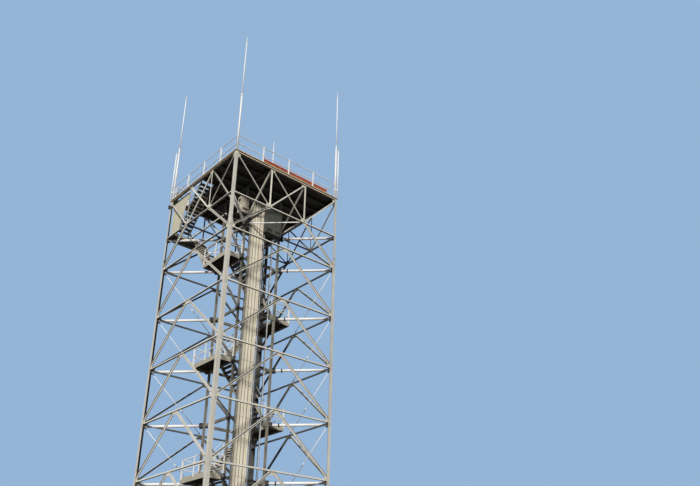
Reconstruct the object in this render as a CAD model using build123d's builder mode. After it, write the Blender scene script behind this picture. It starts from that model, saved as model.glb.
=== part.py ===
"""Square steel radar tower: angle legs with chevron bracing, a stair shaft inside and a railed deck.

Millimetres, +Z up. The origin is on the ground under the middle of the tower. The front face looks
along -Y. Pieces that repeat on the four sides are drawn on the front face and turned to the others.
"""

from build123d import *
from math import cos, radians, sin
import os

# Plan and levels
leg_spacing = 7315.0
panel_height = 3150.0
panel_count = 7
brace_bay_height = 2190.0
truss_height = 2600.0

# Legs: angles with their heels outwards, heavier below the splice, and their feet
leg_lower_width = 203.0
leg_lower_thickness = 20.0
leg_upper_width = 152.0
leg_upper_thickness = 13.0
leg_splice_rise = 450.0
foot_width = 620.0
foot_thickness = 40.0
foot_bolt_spacing = 450.0
foot_bolt_hole = 36.0
foot_rib_height = 260.0
foot_rib_thickness = 16.0
foot_rib_offset = 73.0

# Bracing: angles bolted to gusset plates, each given as width on the plate, outstanding flange, thickness
seat_gap = 0.3
gusset_thickness = 16.0
gusset_margin = 15.0
gusset_start = 40.0
girt_angle = (89.0, 51.0, 8.0)
diagonal_angle = (102.0, 64.0, 10.0)
web_angle = (76.0, 51.0, 7.0)
chord_angle = (102.0, 64.0, 10.0)
girt_setback = 190.0
girt_lap = 110.0
diagonal_setback = 290.0
diagonal_lap = 130.0
apex_setback = 150.0
apex_lap = 120.0
apex_plate_width = 400.0
chord_setback = 150.0
web_setback = 240.0

# Deck framing and plate
joist_depth = 203.0
joist_width = 102.0
joist_flange = 9.0
joist_web = 7.0
joist_spacing = 914.4
joist_rows = 7
deck_plate_thickness = 12.0
edge_spacer_depth = 40.0
edge_spacer_width = 48.0
edge_spacer_setback = 60.0
edge_reach = 70.0
edge_seat = 110.0
edge_depth = 60.0
edge_thickness = 8.0

# Guard rails round the deck
rail_height = 1050.0
mid_rail_height = 480.0
rail_width = 48.0
rail_post_width = 60.0
rail_inset = 60.0
rail_post_spacing = 1829.0
kick_board_height = 380.0
kick_board_thickness = 6.0
kick_board_rib_depth = 25.0
kick_board_ribs = 4
kick_board_start = -1760.0
kick_board_end = 2950.0

# Lightning rods and the two short capped poles
rod_lower_diameter = 102.0
rod_upper_diameter = 64.0
rod_lower_length = 3900.0
rod_length = 8350.0
pole_diameter = 76.0
pole_cap_diameter = 96.0
pole_cap_height = 70.0
pole_length = 3550.0
pole_offset = 105.0

# Base plate for equipment in the middle of the deck
base_plate_width = 900.0
base_plate_thickness = 30.0
base_plate_bolt_spacing = 700.0
base_plate_bolt_hole = 30.0

# Stair shaft
post_width = 114.0
post_foot_width = 150.0
post_foot_thickness = 20.0
tie_depth = 150.0
tie_width = 90.0
landing_half_length = 1250.0
landing_reach = 1030.0
landing_frame_depth = 200.0
landing_frame_web = 10.0
landing_frame_flange = 60.0
landing_drop = 50.0
landing_plate = 8.0
flight_middle_gap = 60.0
flight_post_gap = 20.0
stringer_above = 60.0
stringer_below = 250.0
stringer_thickness = 12.0
treads_per_flight = 14
tread_depth = 240.0
tread_thickness = 35.0
stair_rail_height = 950.0
stair_rail_width = 40.0
stair_post_shares = (0.08, 0.5, 0.92)
landing_rail_height = 1050.0
strut_diameter = 150.0
strut_drop = 115.0
tongue_thickness = 16.0
tongue_height = 120.0
tongue_length = 160.0
tongue_sink = 60.0

# Landing at the back left corner, the beam beside it, the last flight and its side shield
corner_landing_width = 840.0
corner_landing_end = -1550.0
corner_landing_inset = 20.0
corner_landing_depth = 150.0
corner_flight_width = 700.0
corner_flight_treads = 11
landing_beam_line = -2550.0
landing_beam_front = -1257.0
landing_beam_width = 80.0
landing_beam_depth = 80.0
last_flight_left = -3480.0
last_flight_right = -2700.0
last_flight_run = 2500.0
hatch_margin = 45.0
hatch_rail_inset = 30.0
shield_thickness = 6.0
shield_setback = 180.0
shield_lip = 45.0
shield_top = 500.0
shield_notch = 3100.0
shield_front = 1600.0
shield_bend = (2900.0, 24800.0)

# Plan beams and corner ties at the foot of the truss, and knee braces under the deck
plan_beam_width = 76.0
corner_tie_width = 45.0
corner_tie_depth = 45.0
corner_tie_clearance = 4.0
knee_width = 76.0

# Vertical cable ducts and conduits on the front of the shaft, and two cabinets under the deck
duct_head = 25900.0
duct_bank_left = -905.0
duct_widths = (580.0, 200.0)
duct_spacing = 45.0
duct_depth = 150.0
duct_standoff = 60.0
duct_bracket_depth = 75.0
duct_bracket_ends = (-1000.0, 740.0)
left_cabinet_left = -1850.0
left_cabinet_depth = 390.0
left_cabinet_foot = 24650.0
left_cabinet_height = 1050.0
right_cabinet_depth = 435.0
right_cabinet_left = -60.0
right_cabinet_right = 1080.0
right_cabinet_foot = 23950.0
right_cabinet_height = 1750.0
conduit_diameter = 60.0
conduit_places = (-965.0, 60.0, 700.0)

half = leg_spacing / 2
third = leg_spacing / 6
levels = [number * panel_height for number in range(panel_count + 1)]
top_panel = levels[-1]
truss_foot = top_panel + brace_bay_height
truss_top = truss_foot + truss_height
chord_top = truss_top + chord_angle[0] / 2
chord_bottom = truss_top - chord_angle[0] / 2
edge_bottom = chord_top + edge_spacer_depth
deck_top = edge_bottom + edge_depth
deck_underside = deck_top - deck_plate_thickness
edge_half = half + edge_reach
deck_plate_half = edge_half - edge_thickness - seat_gap
rail_line = half - rail_inset
beam_bottom = deck_underside - joist_depth
post_face = third + post_width / 2
leg_inner = half + gusset_thickness / 2 + seat_gap
plate_inner = half - gusset_thickness / 2
shaft_corners = [(-third, -third), (third, -third), (third, third), (-third, third)]
faces = {"front": 0, "right": 90, "back": 180, "left": 270}

os.makedirs("parts", exist_ok=True)


def save(builder, name):
    """Labels a finished piece and writes it."""
    builder.part.label = name
    export_step(builder.part, f"parts/{name}.step")


def save_on_faces(pattern, name):
    """Writes a front-face piece once for each of the four faces."""
    for face, turn in faces.items():
        with BuildPart() as turned:
            with Locations(Rotation(0, 0, turn)):
                add(pattern.part)
        save(turned, f"{name}_{face}")


def save_ring(pattern, name):
    """Writes a front-face piece and its three copies on the other faces as one piece."""
    with BuildPart() as ring:
        for turn in faces.values():
            with Locations(Rotation(0, 0, turn)):
                add(pattern.part)
    save(ring, name)


def block(low, high, mode=Mode.ADD):
    """Adds a box between two opposite corners."""
    middle = [(a + b) / 2 for a, b in zip(low, high)]
    size = [abs(b - a) for a, b in zip(low, high)]
    with Locations(Vector(*middle)):
        Box(*size, mode=mode)


def face_plane(x, z):
    """A sketch plane on the front face, x to the right and y up, looking outwards."""
    return Plane(origin=(x, -half, z), x_dir=(1, 0, 0), z_dir=(0, -1, 0))


def angle_profile(side, section, heel_up):
    """Draws one angle with its back against a side of the gusset plate, and its heel down or up."""
    width, flange, thickness = section
    back = side * gusset_thickness / 2
    low = -1 if heel_up else 1
    Polygon(
        (back, low * width / 2),
        (back + side * flange, low * width / 2),
        (back + side * flange, low * (width / 2 - thickness)),
        (back + side * thickness, low * (width / 2 - thickness)),
        (back + side * thickness, -low * width / 2),
        (back, -low * width / 2),
        align=None,
    )


def face_angles(start, end, section, sides=(1, -1), heel_up=False):
    """Adds angles along a line of the front face, given from its left end to its right end."""
    origin = Vector(start[0], -half, start[1])
    run = Vector(end[0], -half, end[1]) - origin
    with BuildSketch(Plane(origin=origin, x_dir=(0, -1, 0), z_dir=run)) as profile:
        for side in sides:
            angle_profile(side, section, heel_up)
    extrude(profile.sketch, amount=run.length)


def trimmed(start, end, start_cut, end_cut):
    """Shortens a line of the front face at both ends."""
    run = Vector(end[0] - start[0], end[1] - start[1])
    along = run.normalized()
    first = Vector(*start) + along * start_cut
    last = Vector(*end) - along * end_cut
    return (first.X, first.Y), (last.X, last.Y)


def arm_end(node, toward, reach, section):
    """The two corners of a bar's end on a gusset, for a bar that leaves the node towards a point."""
    run = Vector(toward[0] - node[0], toward[1] - node[1])
    along = run.normalized()
    across = Vector(-along.Y, along.X) * (section[0] / 2)
    tip = Vector(*node) + along * reach
    return [((tip + across).X, (tip + across).Y), ((tip - across).X, (tip - across).Y)]


def gusset(points):
    """Adds a plate on the plane of the front face, with the outline that wraps the points."""
    with BuildSketch(face_plane(0, 0)) as plate:
        with BuildLine():
            Polyline(*points)
        make_hull()
    extrude(plate.sketch, amount=gusset_thickness / 2, both=True)


def i_profile(depth, width, flange, web):
    """Draws an I section, upright on the sketch's y axis."""
    Rectangle(width, depth)
    with Locations(((width + web) / 4, 0), (-(width + web) / 4, 0)):
        Rectangle((width - web) / 2, depth - 2 * flange, mode=Mode.SUBTRACT)


def leg_profile(width, thickness):
    """Draws the front left leg's angle, heel outwards, with its inner faces just outside the gussets."""
    heel = -leg_inner - thickness
    edge = heel + width
    Polygon(
        (heel, heel), (edge, heel), (edge, -leg_inner), (-leg_inner, -leg_inner), (-leg_inner, edge),
        (heel, edge), align=None,
    )


# Legs: from the foot plates up to the deck edge, with a splice above the top panel
leg_splice = top_panel + leg_splice_rise
with BuildPart() as corner_leg:
    with BuildSketch(Plane.XY.offset(foot_thickness)):
        leg_profile(leg_lower_width, leg_lower_thickness)
    extrude(amount=leg_splice - foot_thickness)
    with BuildSketch(Plane.XY.offset(leg_splice)):
        leg_profile(leg_upper_width, leg_upper_thickness)
    extrude(amount=edge_bottom - seat_gap - leg_splice)
leg_names = ("leg_front_left", "leg_front_right", "leg_back_right", "leg_back_left")
for leg_name, turn in zip(leg_names, faces.values()):
    with BuildPart() as leg:
        with Locations(Rotation(0, 0, turn)):
            add(corner_leg.part)
    save(leg, leg_name)

# Foot plates with four anchor bolt holes each, and a rib against the outside of each flange
rib_start = leg_inner - half + leg_lower_thickness + seat_gap
rib_places = (
    Plane(origin=(foot_rib_offset - half, -half, foot_thickness), x_dir=(0, -1, 0), z_dir=(-1, 0, 0)),
    Plane(origin=(-half, foot_rib_offset - half, foot_thickness), x_dir=(-1, 0, 0), z_dir=(0, 1, 0)),
)
with BuildPart() as foot:
    with BuildSketch():
        with Locations((-half, -half)):
            Rectangle(foot_width, foot_width)
            with GridLocations(foot_bolt_spacing, foot_bolt_spacing, 2, 2):
                Circle(foot_bolt_hole / 2, mode=Mode.SUBTRACT)
    extrude(amount=foot_thickness)
    for rib_place in rib_places:
        with BuildSketch(rib_place):
            Polygon(
                (rib_start, 0), (foot_width / 2, 0), (rib_start + foot_rib_thickness, foot_rib_height),
                (rib_start, foot_rib_height), align=None,
            )
        extrude(amount=foot_rib_thickness / 2, both=True)
save_ring(foot, "foot_plates")

# Girts: level pairs of angles, leg to leg at the top of every panel
girt_end = half - girt_setback
with BuildPart() as girts:
    for level in levels[1:]:
        face_angles((-girt_end, level), (girt_end, level), girt_angle)
save_on_faces(girts, "girts")

# Chevrons: from the middle of each girt down to both legs, and the two braces under the truss, heels up
with BuildPart() as diagonals:
    for foot_level, level in zip(levels, levels[1:]):
        left_arm = trimmed((-half, foot_level), (0, level), diagonal_setback, apex_setback)
        right_arm = trimmed((0, level), (half, foot_level), apex_setback, diagonal_setback)
        face_angles(*left_arm, diagonal_angle, heel_up=True)
        face_angles(*right_arm, diagonal_angle, heel_up=True)
    left_arm = trimmed((-half, top_panel), (-third, truss_foot), diagonal_setback, apex_setback)
    right_arm = trimmed((third, truss_foot), (half, top_panel), apex_setback, diagonal_setback)
    face_angles(*left_arm, diagonal_angle, heel_up=True)
    face_angles(*right_arm, diagonal_angle, heel_up=True)
save_on_faces(diagonals, "diagonals")

# Top truss: lower chord, and single uprights and webs, where the crossing webs pass on both sides
chord_end = half - chord_setback
upright_foot = truss_foot + girt_angle[0] / 2 + gusset_margin
upright_head = chord_bottom - gusset_margin
with BuildPart() as truss:
    face_angles((-chord_end, truss_foot), (chord_end, truss_foot), girt_angle)
    for x in (-third, third):
        face_angles((x, upright_foot), (x, upright_head), web_angle, sides=(1,))
    for start, end, cuts, side in (
        ((-half, truss_top), (-third, truss_foot), (web_setback, apex_setback), 1),
        ((third, truss_foot), (half, truss_top), (apex_setback, web_setback), 1),
        ((-third, truss_top), (third, truss_foot), (apex_setback, apex_setback), 1),
        ((-third, truss_foot), (third, truss_top), (apex_setback, apex_setback), -1),
    ):
        face_angles(*trimmed(start, end, *cuts), web_angle, sides=(side,))
save_on_faces(truss, "truss")

# Deck edge beams: the truss's upper chord, a pair of angles with a spacer on top
spacer_end = half - edge_spacer_setback
with BuildPart() as edge_beam:
    face_angles((-chord_end, truss_top), (chord_end, truss_top), chord_angle)
    spacer_front = -half - gusset_thickness / 2
    block((-spacer_end, spacer_front, chord_top + seat_gap),
          (spacer_end, spacer_front + edge_spacer_width, edge_bottom - seat_gap))
save_ring(edge_beam, "edge_beams")

# Gusset plates of one face
web_reach = apex_setback + apex_lap
foot_reach = diagonal_setback + diagonal_lap
top_reach = web_setback + apex_lap
band = girt_angle[0] / 2 + gusset_margin
with BuildPart() as gussets:
    for side in (-1, 1):
        leg_x = side * half
        edge = leg_x - side * gusset_start
        lap_end = leg_x - side * (girt_setback + girt_lap)
        for number, level in enumerate(levels[:-1]):
            low = level - band if number else foot_thickness + seat_gap
            arm = arm_end((leg_x, level), (0, level + panel_height), foot_reach, diagonal_angle)
            gusset([(edge, low), (lap_end, low), (edge, level + foot_reach / 2), *arm])
        arm = arm_end((leg_x, top_panel), (side * third, truss_foot), foot_reach, diagonal_angle)
        low = top_panel - band
        gusset([(edge, low), (lap_end, low), (edge, top_panel + foot_reach / 2), *arm])
        gusset([(edge, truss_foot - band), (lap_end, truss_foot - band), (lap_end, truss_foot + band),
                (edge, truss_foot + band)])
        arm = arm_end((leg_x, truss_top), (side * third, truss_foot), top_reach, web_angle)
        high = chord_bottom + gusset_margin
        gusset([(edge, high), (lap_end, high), (edge, truss_top - top_reach), *arm])
        node = (side * third, truss_foot)
        gusset([
            *arm_end(node, (leg_x, truss_top), web_reach, web_angle),
            *arm_end(node, (-side * third, truss_top), web_reach, web_angle),
            *arm_end(node, (leg_x, top_panel), web_reach, diagonal_angle),
            (side * (third - web_reach / 2), truss_foot - band),
        ])
        node = (side * third, truss_top)
        gusset([
            *arm_end(node, (-side * third, truss_foot), web_reach, web_angle),
            (side * (third + band), high), (side * (third - web_reach), high),
            (side * (third + band), chord_bottom - 2 * band),
        ])
    for level in levels[1:]:
        arms = [
            *arm_end((0, level), (-half, level - panel_height), web_reach, diagonal_angle),
            *arm_end((0, level), (half, level - panel_height), web_reach, diagonal_angle),
        ]
        gusset([(-apex_plate_width / 2, level), (apex_plate_width / 2, level), *arms])
    with BuildSketch(face_plane(0, (truss_foot + truss_top) / 2)):
        Rectangle(2 * band, 2 * band)
    extrude(amount=gusset_thickness / 2, both=True)
save_on_faces(gussets, "gussets")

# Stair shaft: four square posts from the ground to the deck beams, with foot plates
with BuildPart() as shaft_posts:
    with BuildSketch():
        with Locations(*shaft_corners):
            Rectangle(post_foot_width, post_foot_width)
    extrude(amount=post_foot_thickness)
    with BuildSketch(Plane.XY.offset(post_foot_thickness)):
        with Locations(*shaft_corners):
            Rectangle(post_width, post_width)
    extrude(amount=beam_bottom - seat_gap - post_foot_thickness)
save(shaft_posts, "shaft_posts")

# Ties between the posts at every level, left out where a landing takes their place
tie_end = third - post_width / 2 - seat_gap
with BuildPart() as shaft_ties:
    for number, level in enumerate(levels[1:] + [truss_foot], start=1):
        high = level - landing_drop
        for y in (-third, third):
            block((-tie_end, y - tie_width / 2, high - tie_depth), (tie_end, y + tie_width / 2, high))
        sides = (-1, 1) if level == truss_foot else (1,) if number % 2 else (-1,)
        for side in sides:
            x = side * third
            block((x - tie_width / 2, -tie_end, high - tie_depth), (x + tie_width / 2, tie_end, high))
save(shaft_ties, "shaft_ties")

# Struts from the legs to the shaft posts, on both diagonals of the plan
strut_start = 2**0.5 * leg_inner - tongue_thickness / 2 - seat_gap
strut_end = 2**0.5 * post_face + seat_gap
with BuildPart() as struts:
    for level in levels[1:] + [truss_foot]:
        for turn in (45, 135, 225, 315):
            out = Vector(cos(radians(turn)), sin(radians(turn)), 0)
            origin = out * (strut_end + tongue_length - tongue_sink) + Vector(0, 0, level - strut_drop)
            with BuildSketch(Plane(origin=origin, z_dir=out)):
                RegularPolygon(strut_diameter / 2, 8)
            extrude(amount=strut_start - strut_end - 2 * (tongue_length - tongue_sink))
            for near in (strut_end, strut_start - tongue_length):
                origin = out * near + Vector(0, 0, level - strut_drop)
                with BuildSketch(Plane(origin=origin, x_dir=(0, 0, 1), z_dir=out)):
                    Rectangle(tongue_height, tongue_thickness)
                extrude(amount=tongue_length)
save(struts, "plan_struts")

# Plan beams from the shaft posts to the lower chords, resting on their flanges
flange_top = truss_foot - girt_angle[0] / 2 + girt_angle[2]
tie_low = flange_top + seat_gap
tie_limit = plate_inner - girt_angle[2] - seat_gap
plan_beam_top = tie_low + plan_beam_width
with BuildPart() as plan_beam:
    for x in (-third, third):
        block((x - plan_beam_width / 2, -tie_limit, tie_low),
              (x + plan_beam_width / 2, -post_face - seat_gap, plan_beam_top))
save_ring(plan_beam, "plan_beams")

# Corner ties from a plan beam to the front and to the back face, past the ducts
tie_near = third - plan_beam_width / 2 - seat_gap
tie_half_cut = corner_tie_width / 2**0.5
tie_line = tie_near + post_face + corner_tie_clearance + tie_half_cut
with BuildPart() as corner_ties:
    with BuildSketch(Plane.XY.offset(tie_low)):
        for side in (-1, 1):
            near_y = tie_line - tie_near
            far_x = tie_line - tie_limit
            Polygon(
                (side * tie_near, side * (near_y - tie_half_cut)),
                (side * tie_near, side * (near_y + tie_half_cut)),
                (side * (far_x + tie_half_cut), side * tie_limit),
                (side * (far_x - tie_half_cut), side * tie_limit), align=None,
            )
    extrude(amount=corner_tie_depth)
save(corner_ties, "corner_ties")

# Knee braces from the shaft posts up to the deck edge; the last flight passes where the eighth would be
knee_rise = plate_inner - seat_gap - post_face - seat_gap
knee_depth = 2**0.5 * knee_width
with BuildPart() as knees:
    for face, turn in faces.items():
        head = beam_bottom - seat_gap if face in ("front", "back") else chord_bottom - seat_gap
        for side in (-1, 1):
            if face == "left" and side < 0:
                continue
            place = Location((0, 0, 0), (0, 0, turn)) * Location(Plane(
                origin=(side * third, -post_face - seat_gap, head), x_dir=(0, -1, 0), z_dir=(-1, 0, 0),
            ))
            with BuildSketch(Plane(place)) as knee:
                Polygon(
                    (knee_rise, 0), (knee_rise - knee_depth, 0),
                    (0, knee_depth - knee_rise), (0, -knee_rise), align=None,
                )
            extrude(knee.sketch, amount=knee_width / 2, both=True)
save(knees, "knee_braces")

# Landings: a plate in a channel frame, on the left at odd levels and on the right at even ones
landing_inner = post_face + seat_gap
landing_outer = landing_inner + landing_reach


def landing_side(number):
    """-1 for a landing on the left of the shaft, 1 for one on the right."""
    return -1 if number % 2 else 1


with BuildPart() as landings:
    for number, level in enumerate(levels[1:], start=1):
        side = landing_side(number)
        high = level - landing_drop
        low = high - landing_frame_depth
        block((side * landing_inner, -landing_half_length, low),
              (side * landing_outer, landing_half_length, high))
        block(
            (side * (landing_inner + landing_frame_web), -landing_half_length + landing_frame_web,
             low + landing_frame_web),
            (side * (landing_outer - landing_frame_web), landing_half_length - landing_frame_web,
             high - landing_plate),
            mode=Mode.SUBTRACT,
        )
        flange = landing_frame_flange
        block(
            (side * (landing_inner + flange), -landing_half_length + flange, low),
            (side * (landing_outer - flange), landing_half_length - flange, low + landing_frame_web),
            mode=Mode.SUBTRACT,
        )
save(landings, "landings")


def stringer_outline(run, rise, below, floor):
    """Side view of a stringer from its foot at the origin, cut off at the floor."""
    foot = max(-below, floor)
    points = [(0, foot), (0, stringer_above), (run, rise + stringer_above), (run, rise - below)]
    if foot > -below:
        points.append(((foot + below) * run / rise, foot))
    return points


def flight(place, run, rise, width, below=stringer_below, floor=-stringer_below,
           treads=treads_per_flight):
    """Adds two stringers and open treads, climbing from the plane's origin along its x axis."""
    clear = width / 2 - stringer_thickness - seat_gap
    for side in (-1, 1):
        middle = side * (width - stringer_thickness) / 2
        origin = place.from_local_coords((0, middle, 0))
        side_plane = Plane(origin=origin, x_dir=place.x_dir, z_dir=-place.y_dir)
        with BuildSketch(side_plane) as stringer:
            Polygon(*stringer_outline(run, rise, below, floor), align=None)
        extrude(stringer.sketch, amount=stringer_thickness / 2, both=True)
    step_run = run / (treads + 1)
    step_rise = rise / (treads + 1)
    for number in range(1, treads + 1):
        middle = (number * step_run, 0, number * step_rise - tread_thickness / 2)
        with Locations(place.location * Location(middle)):
            Box(tread_depth, 2 * clear, tread_thickness)


def flight_rails(place, run, rise, width):
    """Adds a flat rail over each stringer: posts, with a handrail and a middle rail inside them."""
    slope = rise / run
    bar = stair_rail_width
    for side in (-1, 1):
        middle = side * (width - stringer_thickness) / 2
        origin = place.from_local_coords((0, middle, 0))
        side_plane = Plane(origin=origin, x_dir=place.x_dir, z_dir=-place.y_dir)
        with BuildSketch(side_plane) as posts:
            for share in stair_post_shares:
                x = share * run
                foot = (x + bar) * slope + stringer_above + seat_gap
                Polygon(
                    (x, foot), (x + bar, foot), (x + bar, (x + bar) * slope + stair_rail_height),
                    (x, x * slope + stair_rail_height), align=None,
                )
        extrude(posts.sketch, amount=stringer_thickness / 2, both=True)
        rail_plane = side_plane.offset(side * (stringer_thickness + seat_gap))
        with BuildSketch(rail_plane) as rails:
            for height in (stair_rail_height, stair_rail_height / 2 + stringer_above):
                start, end = bar, run - bar
                Polygon(
                    (start, start * slope + height), (end, end * slope + height),
                    (end, end * slope + height - bar), (start, start * slope + height - bar), align=None,
                )
        extrude(rails.sketch, amount=stringer_thickness / 2, both=True)


# Flights between the landings, in the front half going up to the left and in the back half to the right
flight_outer = third - post_width / 2 - flight_post_gap
flight_width = flight_outer - flight_middle_gap
flight_middle = (flight_outer + flight_middle_gap) / 2
flight_run = 2 * post_face
places = []
for number in range(panel_count):
    side = landing_side(number)
    foot_level = levels[number] - landing_drop if number else 0
    rise = levels[number + 1] - landing_drop - foot_level
    origin = (side * post_face, -side * flight_middle, foot_level)
    places.append((Plane(origin=origin, x_dir=(-side, 0, 0), z_dir=(0, 0, 1)), rise))
for number, (place, rise) in enumerate(places, start=1):
    with BuildPart() as stair_flight:
        flight(place, flight_run, rise, flight_width, floor=0 if number == 1 else -stringer_below)
    save(stair_flight, f"flight_{number}")
with BuildPart() as stair_rails:
    for place, rise in places:
        flight_rails(place, flight_run, rise, flight_width)
save(stair_rails, "stair_rails")


def flat_rail(start, end, level, height, bar, post_count):
    """Adds an upright rail panel between two plan points: end posts, a top rail and a middle rail."""
    run = Vector(end[0] - start[0], end[1] - start[1], 0)
    length = run.length
    plane = Plane(origin=(start[0], start[1], level), x_dir=run, z_dir=run.cross(Vector(0, 0, 1)))
    with BuildSketch(plane) as panel:
        for rail_level in (height - bar / 2, height / 2):
            with Locations((length / 2, rail_level)):
                Rectangle(length, bar)
        for post in range(post_count):
            x = bar / 2 + post * (length - bar) / (post_count - 1)
            with Locations((x, height / 2)):
                Rectangle(bar, height)
    extrude(panel.sketch, amount=bar / 2, both=True)


# Rails on the three open sides of each landing
with BuildPart() as landing_rails:
    inset = stair_rail_width / 2
    for number, level in enumerate(levels[1:], start=1):
        side = landing_side(number)
        high = level - landing_drop
        outer = side * (landing_outer - inset)
        flat_rail((outer, -landing_half_length), (outer, landing_half_length), high, landing_rail_height,
                  stair_rail_width, 3)
        for y in (-landing_half_length + inset, landing_half_length - inset):
            if number == panel_count and y > 0:
                continue
            flat_rail((side * landing_inner, y), (outer - side * (inset + seat_gap), y), high,
                      landing_rail_height, stair_rail_width, 2)
save(landing_rails, "landing_rails")

# Flight from the top landing to the corner landing beside the back left leg
corner_landing_back = half - corner_landing_inset
corner_landing_front = corner_landing_back - corner_landing_width
corner_landing_top = tie_low + corner_landing_depth
corner_flight_run = corner_landing_front - seat_gap - landing_half_length
corner_flight_middle = corner_landing_end - corner_flight_width / 2
top_landing_level = top_panel - landing_drop
with BuildPart() as corner_flight:
    flight(
        Plane(origin=(corner_flight_middle, landing_half_length + seat_gap, top_landing_level),
              x_dir=(0, 1, 0), z_dir=(0, 0, 1)),
        corner_flight_run - seat_gap, corner_landing_top - top_landing_level, corner_flight_width,
        below=corner_landing_depth, treads=corner_flight_treads,
    )
save(corner_flight, "corner_flight")

# The corner landing lies in the corner of the truss, on the lower flanges of its chords
with BuildPart() as corner_landing:
    left = corner_landing_inset - half
    block((left, corner_landing_front, tie_low),
          (corner_landing_end, corner_landing_back, corner_landing_top))
    block(
        (left + landing_frame_web, corner_landing_front + landing_frame_web, tie_low),
        (corner_landing_end - landing_frame_web, corner_landing_back - landing_frame_web,
         corner_landing_top - landing_plate),
        mode=Mode.SUBTRACT,
    )
save(corner_landing, "corner_landing")

# Beam from the corner landing forwards over the two plan beams
with BuildPart() as landing_beam:
    low = plan_beam_top + seat_gap
    left = landing_beam_line - landing_beam_width / 2
    block((left, landing_beam_front, low),
          (left + landing_beam_width, corner_landing_front - seat_gap, low + landing_beam_depth))
save(landing_beam, "landing_beam")

# Last flight, up along the left face and through the deck
last_width = last_flight_right - last_flight_left
last_middle = (last_flight_right + last_flight_left) / 2
last_flight_foot = corner_landing_front - seat_gap
with BuildPart() as last_flight:
    flight(
        Plane(origin=(last_middle, last_flight_foot, corner_landing_top),
              x_dir=(0, -1, 0), z_dir=(0, 0, 1)),
        last_flight_run, deck_underside - corner_landing_top, last_width, below=corner_landing_depth,
    )
save(last_flight, "last_flight")

# Side shield of the last flight, a flat sheet between the leg and the stair
shield_x = last_flight_left - seat_gap - shield_thickness
with BuildPart() as stair_shield:
    back = half - shield_setback
    with BuildSketch(Plane(origin=(shield_x, 0, 0), x_dir=(0, 1, 0), z_dir=(1, 0, 0))):
        with BuildLine():
            Polyline(
                (back, corner_landing_top + seat_gap), (back, deck_top + shield_top),
                (shield_notch, deck_top + shield_top), (shield_notch, chord_bottom),
                (shield_front, chord_bottom), (shield_front, chord_bottom - shield_lip), shield_bend,
                (back - shield_lip, corner_landing_top + seat_gap), close=True,
            )
        make_face()
    extrude(amount=shield_thickness)
save(stair_shield, "stair_shield")

# Deck framing: two main beams over the shaft posts, and joists between them and the edge beams
opening_front = last_flight_foot - last_flight_run - seat_gap
opening_back = half - shield_setback + seat_gap
opening_right = last_flight_right + hatch_margin
opening_left = shield_x - hatch_margin
frame_end = plate_inner - chord_angle[1] - seat_gap
joist_middle = deck_underside - joist_depth / 2
with BuildPart() as deck_joists:
    for x in (-third, third):
        with BuildSketch(Plane(origin=(x, -frame_end, joist_middle), x_dir=(1, 0, 0), z_dir=(0, 1, 0))):
            i_profile(joist_depth, joist_width, joist_flange, joist_web)
        extrude(amount=2 * frame_end)
    beam_side = third + joist_width / 2 + seat_gap
    rows = [(row - (joist_rows - 1) / 2) * joist_spacing for row in range(joist_rows)]
    for y in rows:
        spans = [(-beam_side + joist_width + 2 * seat_gap, beam_side - joist_width - 2 * seat_gap),
                 (beam_side, frame_end)]
        beside = opening_front < y < opening_back
        left_end = opening_right + joist_width + seat_gap if beside else -frame_end
        spans.append((left_end, -beam_side))
        for start, end in spans:
            with BuildSketch(Plane(origin=(start, y, joist_middle), x_dir=(0, 1, 0), z_dir=(1, 0, 0))):
                i_profile(joist_depth, joist_width, joist_flange, joist_web)
            extrude(amount=end - start)
    rows_outside = [y for y in rows if not opening_front < y < opening_back]
    front_row = max(y for y in rows_outside if y < opening_front) + joist_width / 2 + seat_gap
    origin = (opening_right + joist_width / 2, front_row, joist_middle)
    with BuildSketch(Plane(origin=origin, x_dir=(1, 0, 0), z_dir=(0, 1, 0))):
        i_profile(joist_depth, joist_width, joist_flange, joist_web)
    extrude(amount=frame_end - front_row)
save(deck_joists, "deck_joists")

with BuildPart() as deck_plate:
    with BuildSketch(Plane.XY.offset(deck_underside)):
        Rectangle(2 * deck_plate_half, 2 * deck_plate_half)
        with Locations(((opening_left + opening_right) / 2, (opening_front + opening_back) / 2)):
            Rectangle(opening_right - opening_left, opening_back - opening_front, mode=Mode.SUBTRACT)
    extrude(amount=deck_plate_thickness)
save(deck_plate, "deck_plate")

# Edge angle on the spacers and the leg tops, upright flange outside, mitred at the corners
with BuildPart() as edge_channel:
    seat, web, depth = edge_seat, edge_thickness, edge_depth
    corner = (-edge_half, -edge_half, edge_bottom)
    with BuildSketch(Plane(origin=corner, x_dir=(0, 1, 0), z_dir=(1, 0, 0))):
        Polygon((0, 0), (seat, 0), (seat, web), (web, web), (web, depth), (0, depth), align=None)
    extrude(amount=2 * edge_half)
    mitre = edge_half - seat_gap
    with BuildSketch(Plane.XY.offset(edge_bottom)):
        for side in (-1, 1):
            Polygon(
                (side * mitre, -edge_half), (side * (mitre - seat), seat - edge_half),
                (side * edge_half, seat - edge_half), (side * edge_half, -edge_half), align=None,
            )
    extrude(amount=depth, mode=Mode.SUBTRACT)
save_ring(edge_channel, "edge_channels")

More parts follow.
